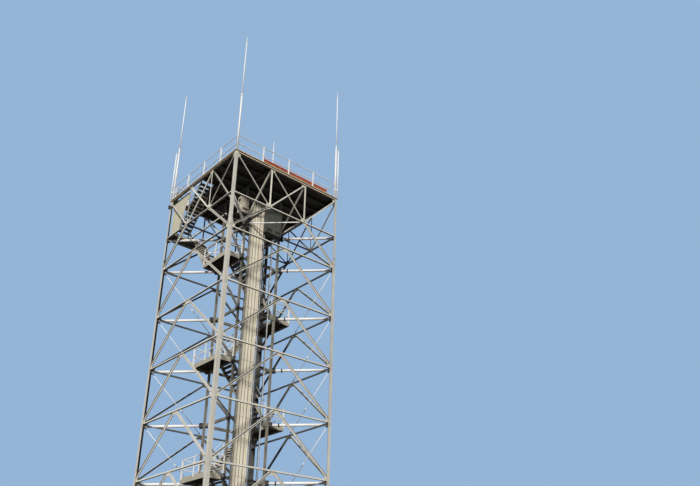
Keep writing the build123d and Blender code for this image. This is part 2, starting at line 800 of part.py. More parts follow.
# Guard rails: posts on the deck, with rails from post to post and on to the corner rods
rail_end = rail_line - rod_lower_diameter / 2 - seat_gap
post_reach = rail_post_width / 2 + seat_gap
post_line = (-rail_post_spacing, 0, rail_post_spacing)
span_starts = [-rail_end] + [x + post_reach for x in post_line]
span_ends = [x - post_reach for x in post_line] + [rail_end]
with BuildPart() as railing:
    for height in (rail_height, mid_rail_height):
        for start, end in zip(span_starts, span_ends):
            with BuildSketch(Plane(origin=(start, -rail_line, deck_top + height), z_dir=(1, 0, 0))):
                RegularPolygon(rail_width / 2, 8)
            extrude(amount=end - start)
    with BuildSketch(Plane.XY.offset(deck_top)):
        for x in post_line:
            with Locations((x, -rail_line)):
                Rectangle(rail_post_width, rail_post_width)
    extrude(amount=rail_height + rail_width)
save_ring(railing, "railings")

# Rails round the stair opening in the deck, on its right and at its back
with BuildPart() as hatch_rails:
    right = opening_right + hatch_rail_inset
    back = opening_back + hatch_rail_inset
    flat_rail((right, opening_front), (right, back), deck_top, landing_rail_height, stair_rail_width, 3)
    flat_rail((opening_left, back), (right - stair_rail_width / 2 - seat_gap, back), deck_top,
              landing_rail_height, stair_rail_width, 2)
save(hatch_rails, "hatch_rails")

# Base plate in the middle of the deck, with a hole at each corner
with BuildPart() as base_plate:
    with BuildSketch(Plane.XY.offset(deck_top)):
        Rectangle(base_plate_width, base_plate_width)
        with GridLocations(base_plate_bolt_spacing, base_plate_bolt_spacing, 2, 2):
            Circle(base_plate_bolt_hole / 2, mode=Mode.SUBTRACT)
    extrude(amount=base_plate_thickness)
save(base_plate, "equipment_base")

# Ribbed kick board inside the front railing
with BuildPart() as kick_board:
    back = -rail_line + rail_post_width / 2 + kick_board_thickness + kick_board_rib_depth + seat_gap
    block((kick_board_start, back - kick_board_thickness, deck_top),
          (kick_board_end, back, deck_top + kick_board_height))
    for rib in range(kick_board_ribs):
        low = deck_top + (rib + 0.5) * kick_board_height / kick_board_ribs - kick_board_rib_depth
        block((kick_board_start, back - kick_board_thickness - kick_board_rib_depth, low),
              (kick_board_end, back - kick_board_thickness, low + kick_board_rib_depth * 2))
save(kick_board, "kick_board")

# Lightning rods at the corners, a wide tube below a thin one
with BuildPart() as rods:
    with BuildSketch(Plane.XY.offset(deck_top)):
        with GridLocations(2 * rail_line, 2 * rail_line, 2, 2):
            RegularPolygon(rod_lower_diameter / 2, 12)
    extrude(amount=rod_lower_length)
    with BuildSketch(Plane.XY.offset(deck_top + rod_lower_length)):
        with GridLocations(2 * rail_line, 2 * rail_line, 2, 2):
            RegularPolygon(rod_upper_diameter / 2, 12)
    extrude(amount=rod_length - rod_lower_length)
save(rods, "lightning_rods")

# Short capped poles outside the rods at two opposite corners
pole_line = rail_line + pole_offset
with BuildPart() as poles:
    for side in (-1, 1):
        with BuildSketch(Plane.XY.offset(deck_top)):
            with Locations((side * pole_line, -side * pole_line)):
                RegularPolygon(pole_diameter / 2, 12)
        extrude(amount=pole_length)
        with BuildSketch(Plane.XY.offset(deck_top + pole_length)):
            with Locations((side * pole_line, -side * pole_line)):
                RegularPolygon(pole_cap_diameter / 2, 12)
        extrude(amount=pole_cap_height)
save(poles, "short_poles")

# Cable ducts up the front of the shaft to the deck, with brackets on the ties
tie_front = -third - tie_width / 2
duct_back = tie_front - duct_standoff
duct_front = duct_back - duct_depth
with BuildPart() as ducts:
    left = duct_bank_left
    for width in duct_widths:
        block((left, duct_front, 0), (left + width, duct_back, duct_head))
        left += width + duct_spacing
save(ducts, "cable_ducts")

with BuildPart() as duct_brackets:
    for level in levels[1:] + [truss_foot]:
        high = level - landing_drop
        right = right_cabinet_left - seat_gap if level == truss_foot else duct_bracket_ends[1]
        block((duct_bracket_ends[0], duct_back + seat_gap, high - duct_bracket_depth),
              (right, tie_front - seat_gap, high))
save(duct_brackets, "duct_brackets")

# Conduits beside the ducts, one to the deck and two to the underside of the right cabinet
with BuildPart() as conduits:
    for x in conduit_places:
        head = duct_head if x < right_cabinet_left else right_cabinet_foot - seat_gap
        with BuildSketch():
            with Locations((x, duct_back - conduit_diameter / 2)):
                RegularPolygon(conduit_diameter / 2, 8, major_radius=False, rotation=22.5)
        extrude(amount=head)
save(conduits, "conduits")

# Two cabinets just under the deck: one between a shaft post and a knee brace, one before the front ties
with BuildPart() as cabinets:
    back = -third - knee_width / 2 - seat_gap
    block((left_cabinet_left, back - left_cabinet_depth, left_cabinet_foot),
          (-post_face - seat_gap, back, left_cabinet_foot + left_cabinet_height))
    back = tie_front - seat_gap
    block((right_cabinet_left, back - right_cabinet_depth, right_cabinet_foot),
          (right_cabinet_right, back, right_cabinet_foot + right_cabinet_height))
save(cabinets, "cabinets")
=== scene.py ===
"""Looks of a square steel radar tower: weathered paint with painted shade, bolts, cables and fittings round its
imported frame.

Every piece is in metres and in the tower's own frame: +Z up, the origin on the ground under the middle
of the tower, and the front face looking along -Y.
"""

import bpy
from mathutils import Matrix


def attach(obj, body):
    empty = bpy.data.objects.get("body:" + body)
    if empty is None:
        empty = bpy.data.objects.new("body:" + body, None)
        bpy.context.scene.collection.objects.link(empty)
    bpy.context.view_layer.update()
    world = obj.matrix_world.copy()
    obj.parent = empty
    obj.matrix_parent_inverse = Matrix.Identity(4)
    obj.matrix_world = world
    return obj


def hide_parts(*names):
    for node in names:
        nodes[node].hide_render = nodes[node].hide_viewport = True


bl_info = {
    "name": "Radar tower",
    "version": (1, 0, 0),
    "blender": (4, 5, 0),
    "location": "View3D > Sidebar > Radar tower",
    "description": "Finishes and fittings of a lattice radar tower",
    "category": "Add Mesh",
}

import math

import bmesh
import bpy
from mathutils import Matrix, Vector

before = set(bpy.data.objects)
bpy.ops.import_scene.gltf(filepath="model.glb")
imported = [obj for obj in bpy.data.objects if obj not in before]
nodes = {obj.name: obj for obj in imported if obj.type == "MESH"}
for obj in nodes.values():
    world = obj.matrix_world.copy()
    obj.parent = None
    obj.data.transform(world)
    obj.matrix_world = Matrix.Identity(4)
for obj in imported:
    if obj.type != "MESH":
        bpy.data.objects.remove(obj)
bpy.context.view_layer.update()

# The photograph's camera
photo_width = 700
photo_height = 486
focal_pixels = 731.6
principal_point = (382.7, 316.9)
sensor_width = 36.0

faces = ("front", "right", "back", "left")

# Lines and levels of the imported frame
half = 3.6575
third = half / 3
panel_height = 3.15
levels = [number * panel_height for number in range(8)]
truss_foot = 24.24
truss_top = 26.84
deck_top = 26.991
seat_gap = 0.0003
gusset_skin = 0.008
leg_inner = half + gusset_skin + seat_gap
leg_thickness = (0.020, 0.013)
leg_splice = 22.5
post_face = third + 0.057
rail_line = 3.5975
rail_posts = (-1.829, 0.0, 1.829)
landing_drop = 0.05
tie_front = -third - 0.045
duct_top = 25.9

move = Matrix.Translation
quarter = math.pi / 2

# Turns that take a shape's Z axis out of a face, or into it
out_of_front = Matrix.Rotation(quarter, 4, "X")
into_front = Matrix.Rotation(-quarter, 4, "X")
to_right = Matrix.Rotation(quarter, 4, "Y")
to_left = Matrix.Rotation(-quarter, 4, "Y")

# Each paint's colour and shade, how it has weathered, and how strongly painted shade darkens its undersides and its
# faces turned towards the tower's middle, where that differs from the plain values
plain_wear_and_shade = {"depth": 1.0, "fade": 1.18, "streaks": 0.35, "spots": 0.2, "clouds": 1.5, "underside": 0.75,
              "inside": 0.0}
paints = {
    "bar_paint": {"colour": "tower", "inside": 0.85},
    "bolt_paint": {"colour": "tower", "depth": 0.8, "streaks": 0.5, "spots": 0.6},
    "leg_paint": {"colour": "legs", "inside": 0.8},
    "edge_paint": {"colour": "edge", "fade": 1.3, "streaks": 0.8, "spots": 0.6, "inside": 0.85},
    "bracket_paint": {"colour": "bracket", "fade": 1.4, "streaks": 0.3, "spots": 0.4},
    # Painted shade: the stair colour darkened for the shaft posts, ties and last flight
    "shaft_paint": {"colour": "stairs", "depth": 0.55, "streaks": 0.45, "spots": 0.3},
    # Painted shade near full under the flights and landings
    "stair_paint": {"colour": "stairs", "streaks": 0.45, "spots": 0.3, "underside": 0.95},
    "tread_paint": {"colour": "stairs", "depth": 0.75, "fade": 1.4, "streaks": 0.3, "spots": 0.5},
    "nosing_paint": {"colour": "nosing", "fade": 1.15, "streaks": 0.3, "spots": 0.3},
    "kick_paint": {"colour": "kick", "fade": 1.5, "streaks": 0.25, "spots": 0.15},
    # Painted shade: a much darker copy of the kick board paint for the strips in its folds
    "kick_groove_paint": {"colour": "kick", "depth": 0.16, "fade": 1.3, "streaks": 0.2, "spots": 0.1},
    "duct_paint": {"colour": "duct", "fade": 1.12, "streaks": 0.3, "spots": 0.1},
    # Painted shade: a much darker copy of the duct paint for the recesses between the ribs
    "duct_recess_paint": {"colour": "duct", "depth": 0.22, "fade": 1.2, "streaks": 0.3},
    "duct_band_paint": {"colour": "duct", "depth": 0.82, "fade": 1.15, "streaks": 0.4, "spots": 0.3},
    "cable_sheath": {"colour": "cable", "fade": 1.7, "streaks": 0.15, "spots": 0.05, "clouds": 6.0},
    "lamp_paint": {"colour": "cable", "fade": 1.5, "streaks": 0.1, "spots": 0.05},
    "pale_cabinet_paint": {"colour": "cabinet", "spots": 0.12},
    "dark_cabinet_paint": {"colour": "dark_cabinet", "fade": 1.3, "spots": 0.12},
    "shield_paint": {"colour": "shield", "fade": 1.1, "spots": 0.12},
    # Painted shade: a near-black paint for the joists and landing bars
    "under_deck_paint": {"colour": "under_deck", "fade": 1.6, "streaks": 0.5, "spots": 0.5},
    # Painted shade near full under the deck plate
    "deck_plate_paint": {"colour": "deck", "fade": 1.3, "streaks": 0.2, "spots": 0.4, "underside": 0.97},
    "deck_seam_paint": {"colour": "deck", "depth": 0.6, "fade": 1.3, "streaks": 0.2, "spots": 0.5},
}

# How bright and how dull the zinc of each steel is, as shades of the pale colour
steels = {"pale_steel": (1.0, 0.82), "dull_steel": (0.55, 0.36)}

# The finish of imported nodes, by how their names start: the others have the paint of the bars
node_finishes = {
    "leg_paint": ("leg_",),
    "edge_paint": ("edge_channels", "edge_beams"),
    # On the plan beams the near-black bracket paint is painted shade
    "bracket_paint": ("duct_brackets", "plan_beams"),
    # Shaft posts, ties and the last flight take the darkened stair paint as painted shade
    "shaft_paint": ("shaft_posts", "shaft_ties", "last_flight"),
    "stair_paint": ("flight", "corner_flight", "corner_landing", "landings"),
    "kick_paint": ("kick_board",),
    "duct_paint": ("cable_ducts",),
    "pale_cabinet_paint": ("cabinets",),
    "shield_paint": ("stair_shield",),
    # The deck joists take the near-black paint as painted shade
    "under_deck_paint": ("deck_joists",),
    "deck_plate_paint": ("deck_plate",),
    "dull_steel": ("conduits",),
    "pale_steel": ("plan_struts", "corner_ties", "railings", "hatch_rails", "stair_rails", "landing_rails",
                   "lightning_rods", "short_poles"),
}


def add_box(builder, first, second, bevel=0.0, place=Matrix()):
    """Adds a box between any two opposite corners in its place, with its edges bevelled if asked."""
    low, high = (Vector([pick(pair) for pair in zip(first, second)]) for pick in (min, max))
    shape = move((low + high) / 2) @ Matrix.Diagonal((*(high - low), 1.0))
    made = bmesh.ops.create_cube(builder, size=1.0, matrix=place @ shape)
    if bevel:
        edges = list(dict.fromkeys(edge for vert in made["verts"] for edge in vert.link_edges))
        bmesh.ops.bevel(builder, geom=edges, offset=bevel, affect="EDGES", segments=1, profile=0.5, material=-1)
    return made["verts"]


def add_prism(builder, place, radius, height, segments, top_radius=None, smooth=False):
    """Adds a prism or a cone that stands on the XY plane of its place."""
    made = bmesh.ops.create_cone(
        builder, cap_ends=True, segments=segments, radius1=radius,
        radius2=radius if top_radius is None else top_radius, depth=height, matrix=place @ move((0, 0, height / 2)),
    )
    if smooth:
        for face in {face for vert in made["verts"] for face in vert.link_faces}:
            face.smooth = len(face.verts) <= 4


def add_tube(builder, start, end, radius, segments):
    """Adds a round bar between two points."""
    run = Vector(end) - Vector(start)
    place = move(start) @ run.to_track_quat("Z", "Y").to_matrix().to_4x4()
    add_prism(builder, place, radius, run.length, segments, smooth=True)


def draw_out(builder, made, reach):
    """Moves the newly extruded points of a sheet by a reach."""
    verts = [item for item in made["geom"] if isinstance(item, bmesh.types.BMVert)]
    bmesh.ops.translate(builder, vec=reach, verts=verts)


def new_mesh(name, builder):
    """Turns a finished bmesh into a mesh whose faces point outwards."""
    bmesh.ops.recalc_face_normals(builder, faces=builder.faces)
    mesh = bpy.data.meshes.new(name)
    builder.to_mesh(mesh)
    builder.free()
    return mesh


def bolt(across, rise, end_radius, end_rise, end_segments, end_top):
    """A hexagon on its washer, with a shorter form on top, standing on the XY plane. All are shares of its width."""
    builder, washer = bmesh.new(), 0.003
    add_prism(builder, Matrix(), across * 0.62, washer, 10)
    add_prism(builder, move((0, 0, washer)), across / 3**0.5, across * rise, 6)
    add_prism(builder, move((0, 0, washer + across * rise)), across * end_radius, across * end_rise, end_segments,
              across * end_top)
    return new_mesh("bolt", builder)


def bolt_head(across):
    """A hexagon head with a chamfered top."""
    corner = 1 / 3**0.5
    return bolt(across, 0.34, corner, 0.08, 6, corner * 0.84)


def bolt_nut(across):
    """A hexagon nut with the end of the thread."""
    return bolt(across, 0.52, 0.31, 0.3, 8, 0.27)


def stamp(builder, template, places):
    """Adds a copy of a small mesh at each place, and removes the small mesh."""
    for place in places:
        copy = template.copy()
        copy.transform(place)
        builder.from_mesh(copy)
        bpy.data.meshes.remove(copy)
    bpy.data.meshes.remove(template)


def link_piece(name, mesh, finishes, replaces=()):
    """Links a finished mesh as one piece of the tower, riding on its body."""
    piece = bpy.data.objects.new(name, mesh)
    bpy.context.scene.collection.objects.link(piece)
    for finish in finishes:
        mesh.materials.append(finished(finish))
    if replaces:
        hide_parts(*replaces)
    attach(piece, "root")


def add_piece(name, builder, slot, *finishes, replaces=()):
    """Makes one piece of the tower from its bmesh."""
    link_piece(name, new_mesh(name, builder), finishes, replaces)


def add_to_faces(name, builder, finish):
    """Makes a front-face shape and its three turned copies, one piece for each face."""
    mesh = new_mesh(name, builder)
    for number, face in enumerate(faces):
        copy = mesh.copy()
        copy.transform(Matrix.Rotation(number * quarter, 4, "Z"))
        link_piece(f"{name}_{face}", copy, (finish,))
    bpy.data.meshes.remove(mesh)


def feed(tree, socket, value):
    """Links an input to a node's output, or sets it to a plain value."""
    if isinstance(value, bpy.types.NodeSocket):
        tree.links.new(value, socket)
    else:
        socket.default_value = value


def tree_node(tree, kind, settings=(), **values):
    """Adds a shader node, sets its properties, and feeds inputs by their names with spaces as underscores."""
    made = tree.nodes.new(kind)
    for key, value in dict(settings).items():
        setattr(made, key, value)
    for key, value in values.items():
        feed(tree, made.inputs[key.replace("_", " ")], value)
    return made


def noise(tree, place, scale, detail, roughness=0.5):
    """Cloudy noise over a place."""
    return tree_node(tree, "ShaderNodeTexNoise", Vector=place, Scale=scale, Detail=detail,
                     Roughness=roughness).outputs["Fac"]


def spread(tree, value, low, high, to_low=0.0, to_high=1.0):
    """Stretches a value's range with a Map Range node."""
    return tree_node(tree, "ShaderNodeMapRange", {"clamp": True}, Value=value, From_Min=low, From_Max=high,
                     To_Min=to_low, To_Max=to_high).outputs["Result"]


def mixed(tree, factor, first, second):
    """Blends two colours."""
    made = tree_node(tree, "ShaderNodeMix", {"data_type": "RGBA"})
    for number, value in ((0, factor), (6, first), (7, second)):
        feed(tree, made.inputs[number], value)
    return made.outputs[2]


def joined(tree, operation, first, second, kind="ShaderNodeMath"):
    """Joins two values, or two vectors, into one value."""
    made = tree_node(tree, kind, {"operation": operation})
    for socket, value in zip(made.inputs, (first, second)):
        feed(tree, socket, value)
    return made.outputs["Value"]


def new_group(name, inputs):
    """Starts a finish's node group, and gives its tree, what comes in and what goes out."""
    tree = bpy.data.node_groups.new(name, "ShaderNodeTree")
    for socket, default in inputs.items():
        kind = "NodeSocketColor" if isinstance(default, tuple) else "NodeSocketFloat"
        tree.interface.new_socket(socket, in_out="INPUT", socket_type=kind).default_value = default
    for socket, kind in (("Color", "Color"), ("Roughness", "Float"), ("Height", "Float")):
        tree.interface.new_socket(socket, in_out="OUTPUT", socket_type="NodeSocket" + kind)
    return tree, tree.nodes.new("NodeGroupInput").outputs, tree.nodes.new("NodeGroupOutput").inputs


def weathering_and_shade_group():
    """Old paint on steel: clouds, streaks and rust spots, and painted shade, near black, on faces turned downwards
    and on faces turned towards the tower's middle.
    """
    if "Weathering" in bpy.data.node_groups:
        return bpy.data.node_groups["Weathering"]
    # Near-black colour of the painted shade
    painted_shade_colour = (0.018, 0.016, 0.014, 1.0)
    tree, given, result = new_group("Weathering", {
        "Paint": (0.5, 0.5, 0.5, 1), "Faded": (0.6, 0.6, 0.6, 1), "Stain": (0.2, 0.15, 0.1, 1), "Cloud Scale": 1.5,
        "Streaks": 0.4, "Spots": 0.3, "Underside": 0.5, "Inside": 0.0,
    })
    source = tree.nodes.new("ShaderNodeTexCoord")
    place, normal = source.outputs["Object"], source.outputs["Normal"]
    clouds = noise(tree, place, given["Cloud Scale"], 5.0, 0.6)
    faded = mixed(tree, spread(tree, clouds, 0.35, 0.65), given["Paint"], given["Faded"])
    stretched = tree_node(tree, "ShaderNodeMapping", Vector=place, Scale=(14.0, 14.0, 0.8))
    runs = noise(tree, stretched.outputs["Vector"], 1.0, 4.0, 0.65)
    streaks = joined(tree, "MULTIPLY", spread(tree, runs, 0.52, 0.78), given["Streaks"])
    streaked = mixed(tree, streaks, faded, given["Stain"])
    grains = noise(tree, place, 38.0, 3.0, 0.7)
    spots = joined(tree, "MULTIPLY", spread(tree, grains, 0.62, 0.72), given["Spots"])
    spotted = mixed(tree, spots, streaked, given["Stain"])
    # Painted shade: faces turned downwards are mixed towards near black
    facing = tree_node(tree, "ShaderNodeSeparateXYZ", Vector=normal)
    shade_below = joined(tree, "MULTIPLY", spread(tree, facing.outputs["Z"], -0.60, -0.90), given["Underside"])
    # Painted shade: faces turned towards the tower's middle are mixed towards near black too (the mask named inner)
    level_place = tree_node(tree, "ShaderNodeMapping", Vector=place, Scale=(1.0, 1.0, 0.0))
    outward = tree_node(tree, "ShaderNodeVectorMath", {"operation": "NORMALIZE"})
    tree.links.new(level_place.outputs["Vector"], outward.inputs[0])
    turned_out = joined(tree, "DOT_PRODUCT", outward.outputs["Vector"], normal, "ShaderNodeVectorMath")
    inner = joined(tree, "MULTIPLY", spread(tree, turned_out, -0.10, -0.45), given["Inside"])
    spotted_and_shaded = mixed(tree, joined(tree, "MAXIMUM", shade_below, inner), spotted, painted_shade_colour)
    tree.links.new(spotted_and_shaded, result["Color"])
    tree.links.new(spread(tree, clouds, 0.3, 0.7, 0.62, 0.85), result["Roughness"])
    tree.links.new(grains, result["Height"])
    return tree


def zinc_group():
    """Galvanised steel: a faint patchwork of crystals and dull runs."""
    if "Zinc" in bpy.data.node_groups:
        return bpy.data.node_groups["Zinc"]
    tree, given, result = new_group(
        "Zinc", {"Bright": (0.8, 0.8, 0.8, 1), "Dull": (0.5, 0.5, 0.5, 1), "Crystal Scale": 30.0})
    place = tree.nodes.new("ShaderNodeTexCoord").outputs["Object"]
    crystals = tree_node(tree, "ShaderNodeTexVoronoi", Vector=place, Scale=given["Crystal Scale"])
    grey = tree_node(tree, "ShaderNodeSeparateColor", Color=crystals.outputs["Color"]).outputs["Red"]
    patch = noise(tree, place, 1.2, 4.0)
    crystal = mixed(tree, joined(tree, "MULTIPLY", grey, 0.45), given["Bright"], given["Dull"])
    aged = mixed(tree, spread(tree, patch, 0.45, 0.7, 0.0, 0.6), crystal, given["Dull"])
    tree.links.new(aged, result["Color"])
    tree.links.new(spread(tree, grey, 0.0, 1.0, 0.45, 0.65), result["Roughness"])
    tree.links.new(crystals.outputs["Distance"], result["Height"])
    return tree


def material_from_group(name, group, bump, **values):
    """A material whose colour, roughness and bump come from one node group."""
    material = bpy.data.materials.new(name)
    material.use_nodes = True
    tree = material.node_tree
    shader = tree.nodes["Principled BSDF"]
    source = tree_node(tree, "ShaderNodeGroup", {"node_tree": group}, **values)
    height = tree_node(tree, "ShaderNodeBump", Strength=bump, Distance=0.002, Height=source.outputs["Height"])
    tree.links.new(source.outputs["Color"], shader.inputs["Base Color"])
    tree.links.new(source.outputs["Roughness"], shader.inputs["Roughness"])
    tree.links.new(height.outputs["Normal"], shader.inputs["Normal"])
    shader.inputs["Specular IOR Level"].default_value = 0.3
    return material


def shade(colour, factor):
    """A lighter or darker copy of a colour, with its alpha."""
    return (*(min(1.0, channel * factor) for channel in colour[:3]), 1.0)


def finished(name):
    """The paint or steel of that name, made once from its table."""
    if name in bpy.data.materials:
        return bpy.data.materials[name]
    colours = bpy.context.scene.tower_colours
    if name in steels:
        bright, dull = steels[name]
        return material_from_group(name, zinc_group(), 0.1, Bright=shade(colours.pale, bright),
                                   Dull=shade(colours.pale, dull), Crystal_Scale=26.0)
    # The wear values also carry the strength of the painted shade on undersides and inner faces
    wear_and_shade = plain_wear_and_shade | paints[name]
    base = shade(getattr(colours, wear_and_shade["colour"]), wear_and_shade["depth"])
    return material_from_group(
        name, weathering_and_shade_group(), 0.25, Paint=base, Faded=shade(base, wear_and_shade["fade"]), Stain=shade(colours.rust, 1.0),
        Cloud_Scale=wear_and_shade["clouds"], Streaks=wear_and_shade["streaks"], Spots=wear_and_shade["spots"], Underside=wear_and_shade["underside"],
        Inside=wear_and_shade["inside"],
    )


def size(name, description, default):
    """A length that a user may change."""
    return bpy.props.FloatProperty(name=name, description=description, subtype="DISTANCE", default=default)


def colour(name, description, default):
    """A colour that a user may change."""
    return bpy.props.FloatVectorProperty(name=name, description=description, subtype="COLOR", default=default)


def heading(name, description, degrees):
    """An angle that a user may change."""
    return bpy.props.FloatProperty(name=name, description=description, subtype="ANGLE", default=math.radians(degrees))


class TowerSizes(bpy.types.PropertyGroup):
    """Sizes of the fittings."""
    bolt: size("Bolt", "Width of the bolt heads across flats", 0.030)
    splice_length: size("Splice", "Length of the leg splice plates", 0.62)
    coupling_place: size("Coupling place", "From a strut's inner end to its coupling", 0.45)
    coupling_radius: size("Coupling radius", "Radius of the strut couplings", 0.115)
    rib_pitch: size("Rib pitch", "Distance between the ribs of the duct covers", 0.19)
    rib_height: size("Rib height", "Depth of the ribs of the duct covers", 0.030)
    kick_folds: bpy.props.IntProperty(
        name="Kick board folds", description="Number of folds up the kick board", default=3)


class TowerColours(bpy.types.PropertyGroup):
    """Colours of the tower's paints and metals."""
    tower: colour("Tower paint", "Bracing, trusses, gussets and bolts", (0.61, 0.595, 0.53))
    legs: colour("Leg paint", "Legs and their splices", (0.51, 0.50, 0.455))
    stairs: colour("Stair paint", "Shaft, flights and landings", (0.36, 0.34, 0.28))
    pale: colour("Pale steel", "Plan struts, guard rails, rods and conduits", (0.86, 0.86, 0.85))
    kick: colour("Kick board", "Ribbed board behind the front rail", (0.50, 0.135, 0.060))
    duct: colour("Cable ducts", "Covers of the cable ducts", (0.76, 0.71, 0.58))
    cabinet: colour("Left cabinet", "Pale cabinet beside the shaft", (0.46, 0.43, 0.34))
    dark_cabinet: colour("Right cabinet", "Dark cabinet before the shaft", (0.060, 0.066, 0.056))
    shield: colour("Stair shield", "Sheet beside the last flight", (0.50, 0.48, 0.38))
    # Near black: on the plan beams this colour is painted shade
    bracket: colour("Brackets", "Brackets, couplings and plan beams", (0.030, 0.029, 0.028))
    cable: colour("Cables", "Sheaths of the clipped cables, and the lamp", (0.040, 0.040, 0.042))
    nosing: colour("Nosings", "Front edges of the treads", (0.58, 0.55, 0.47))
    under_deck: colour("Under the deck", "Joists and landing bars", (0.040, 0.036, 0.030))
    # Near black, standing in for the shade under the deck and the landings: painted shade
    deck: colour("Deck plate", "Deck plate and its seams", (0.22, 0.215, 0.20))
    edge: colour("Deck edge", "Edge beams and channels", (0.50, 0.42, 0.31))
    rust: colour("Rust", "Stain under worn paint", (0.16, 0.085, 0.045))


class TowerView(bpy.types.PropertyGroup):
    """Where the photograph was taken from."""
    position: bpy.props.FloatVectorProperty(
        name="Position", description="Camera position", subtype="TRANSLATION", unit="LENGTH",
        default=(-21.063, -33.687, 1.775))
    azimuth: heading("Azimuth", "Heading from +X towards +Y", 46.305)
    pitch: heading("Pitch", "Upward tilt", 23.807)
    roll: heading("Roll", "Turn about the view's axis", -0.214)


class TOWER_OT_finishes(bpy.types.Operator):
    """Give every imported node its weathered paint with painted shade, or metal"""
    bl_idname = "tower.finishes"
    bl_label = "Finishes"

    def execute(self, context):
        for name, node in nodes.items():
            found = [finish for finish, starts in node_finishes.items() if name.startswith(starts)]
            node.data.materials.clear()
            node.data.materials.append(finished(found[0] if found else "bar_paint"))
        return {"FINISHED"}


class TOWER_OT_bolts(bpy.types.Operator):
    """Bolts at every bar end, through the gussets, the bars and the leg flanges"""
    bl_idname = "tower.bolts"
    bl_label = "Gusset bolts"

    def execute(self, context):
        across = context.scene.tower_sizes.bolt
        places = self.places()
        builder = bmesh.new()
        stamp(builder, bolt_head(across),
              [move((x, -half - outer, z)) @ out_of_front for x, z, outer, inner in places])
        stamp(builder, bolt_nut(across), [move((x, -half + inner, z)) @ into_front for x, z, outer, inner in places])
        add_to_faces("gusset_bolts", builder, "bolt_paint")
        return {"FINISHED"}

    def places(self):
        """Every bolt of the front face: its place, and how far its head and nut lie from the face's plane."""
        girt, arm, web = gusset_skin + 0.008, gusset_skin + 0.010, gusset_skin + 0.007
        foot_cut, girt_cut, node_cut = 0.29, 0.19, 0.15
        found = []
        for number, level in enumerate(levels):
            if number:
                found += self.bar((-half, level), (half, level), (girt_cut, girt_cut), girt, girt)
                found += [(x, level, girt, girt) for x in (-0.11, 0.11)]
            if level < levels[-1]:
                for edge in (-half, half):
                    found += self.bar((edge, level), (0, level + panel_height), (foot_cut, node_cut), arm, arm)
        chords = ((truss_foot, girt), (truss_top, arm))
        for side in (-1, 1):
            edge, node = side * half, side * third
            found += self.bar((edge, levels[-1]), (node, truss_foot), (foot_cut, node_cut), arm, arm)
            found += self.bar((node, truss_foot), (node, truss_top), (0.065, 0.07), web, gusset_skin)
            found += self.bar((edge, truss_top), (node, truss_foot), (0.24, node_cut), web, gusset_skin)
            skins = (web, gusset_skin) if side < 0 else (gusset_skin, web)
            found += self.bar((node, truss_top), (-node, truss_foot), (node_cut, node_cut), *skins)
            for level, skin in chords:
                found += [(node + reach, level, skin, skin) for reach in (-0.08, 0.08)]
        for level, skin in chords:
            found += self.bar((-half, level), (half, level), (node_cut, node_cut), skin, skin)
        found.append((0, (truss_foot + truss_top) / 2, web, web))
        gauge = half - 0.085
        for level in levels[1:] + [truss_foot, truss_top - 0.15]:
            outer = gusset_skin + seat_gap + leg_thickness[level > leg_splice]
            rises = (-0.035, 0.045, 0.125) if level < leg_splice else (-0.035, 0.045)
            for side in (-1, 1):
                found += [(side * gauge, level + rise, outer, gusset_skin) for rise in rises]
        return found

    def bar(self, start, end, cuts, outer, inner):
        """The bolts at both ends of a bar that stops short of its two nodes."""
        start, end = Vector(start), Vector(end)
        along, steps = (end - start).normalized(), (0.03, 0.085)
        rows = [start + along * (cuts[0] + step) for step in steps]
        rows += [end - along * (cuts[1] + step) for step in steps]
        return [(row.x, row.y, outer, inner) for row in rows]


class TOWER_OT_splices(bpy.types.Operator):
    """Splice plates where the legs get thinner, outside both flanges, with packing under their upper halves"""
    bl_idname = "tower.splices"
    bl_label = "Leg splices"

    def execute(self, context):
        sizes = context.scene.tower_sizes
        reach = sizes.splice_length / 2
        near, far = half - 0.125, half - 0.005
        flange = -leg_inner - leg_thickness[0]
        thin_flange = flange + leg_thickness[0] - leg_thickness[1]
        plate = flange - 0.012
        low, high = leg_splice - reach, leg_splice + reach
        builder, heads = bmesh.new(), []
        for side in (-1, 1):
            add_box(builder, (side * near, plate, low), (side * far, flange, high), 0.002)
            add_box(builder, (side * near, flange, leg_splice + 0.002), (side * far, thin_flange, high))
            for x in (side * (near + 0.03), side * (far - 0.03)):
                for row in range(4):
                    rise = reach * (0.2 + 0.2 * row)
                    heads += [move((x, plate, z)) @ out_of_front for z in (leg_splice - rise, leg_splice + rise)]
        stamp(builder, bolt_head(sizes.bolt), heads)
        add_to_faces("leg_splices", builder, "leg_paint")
        return {"FINISHED"}


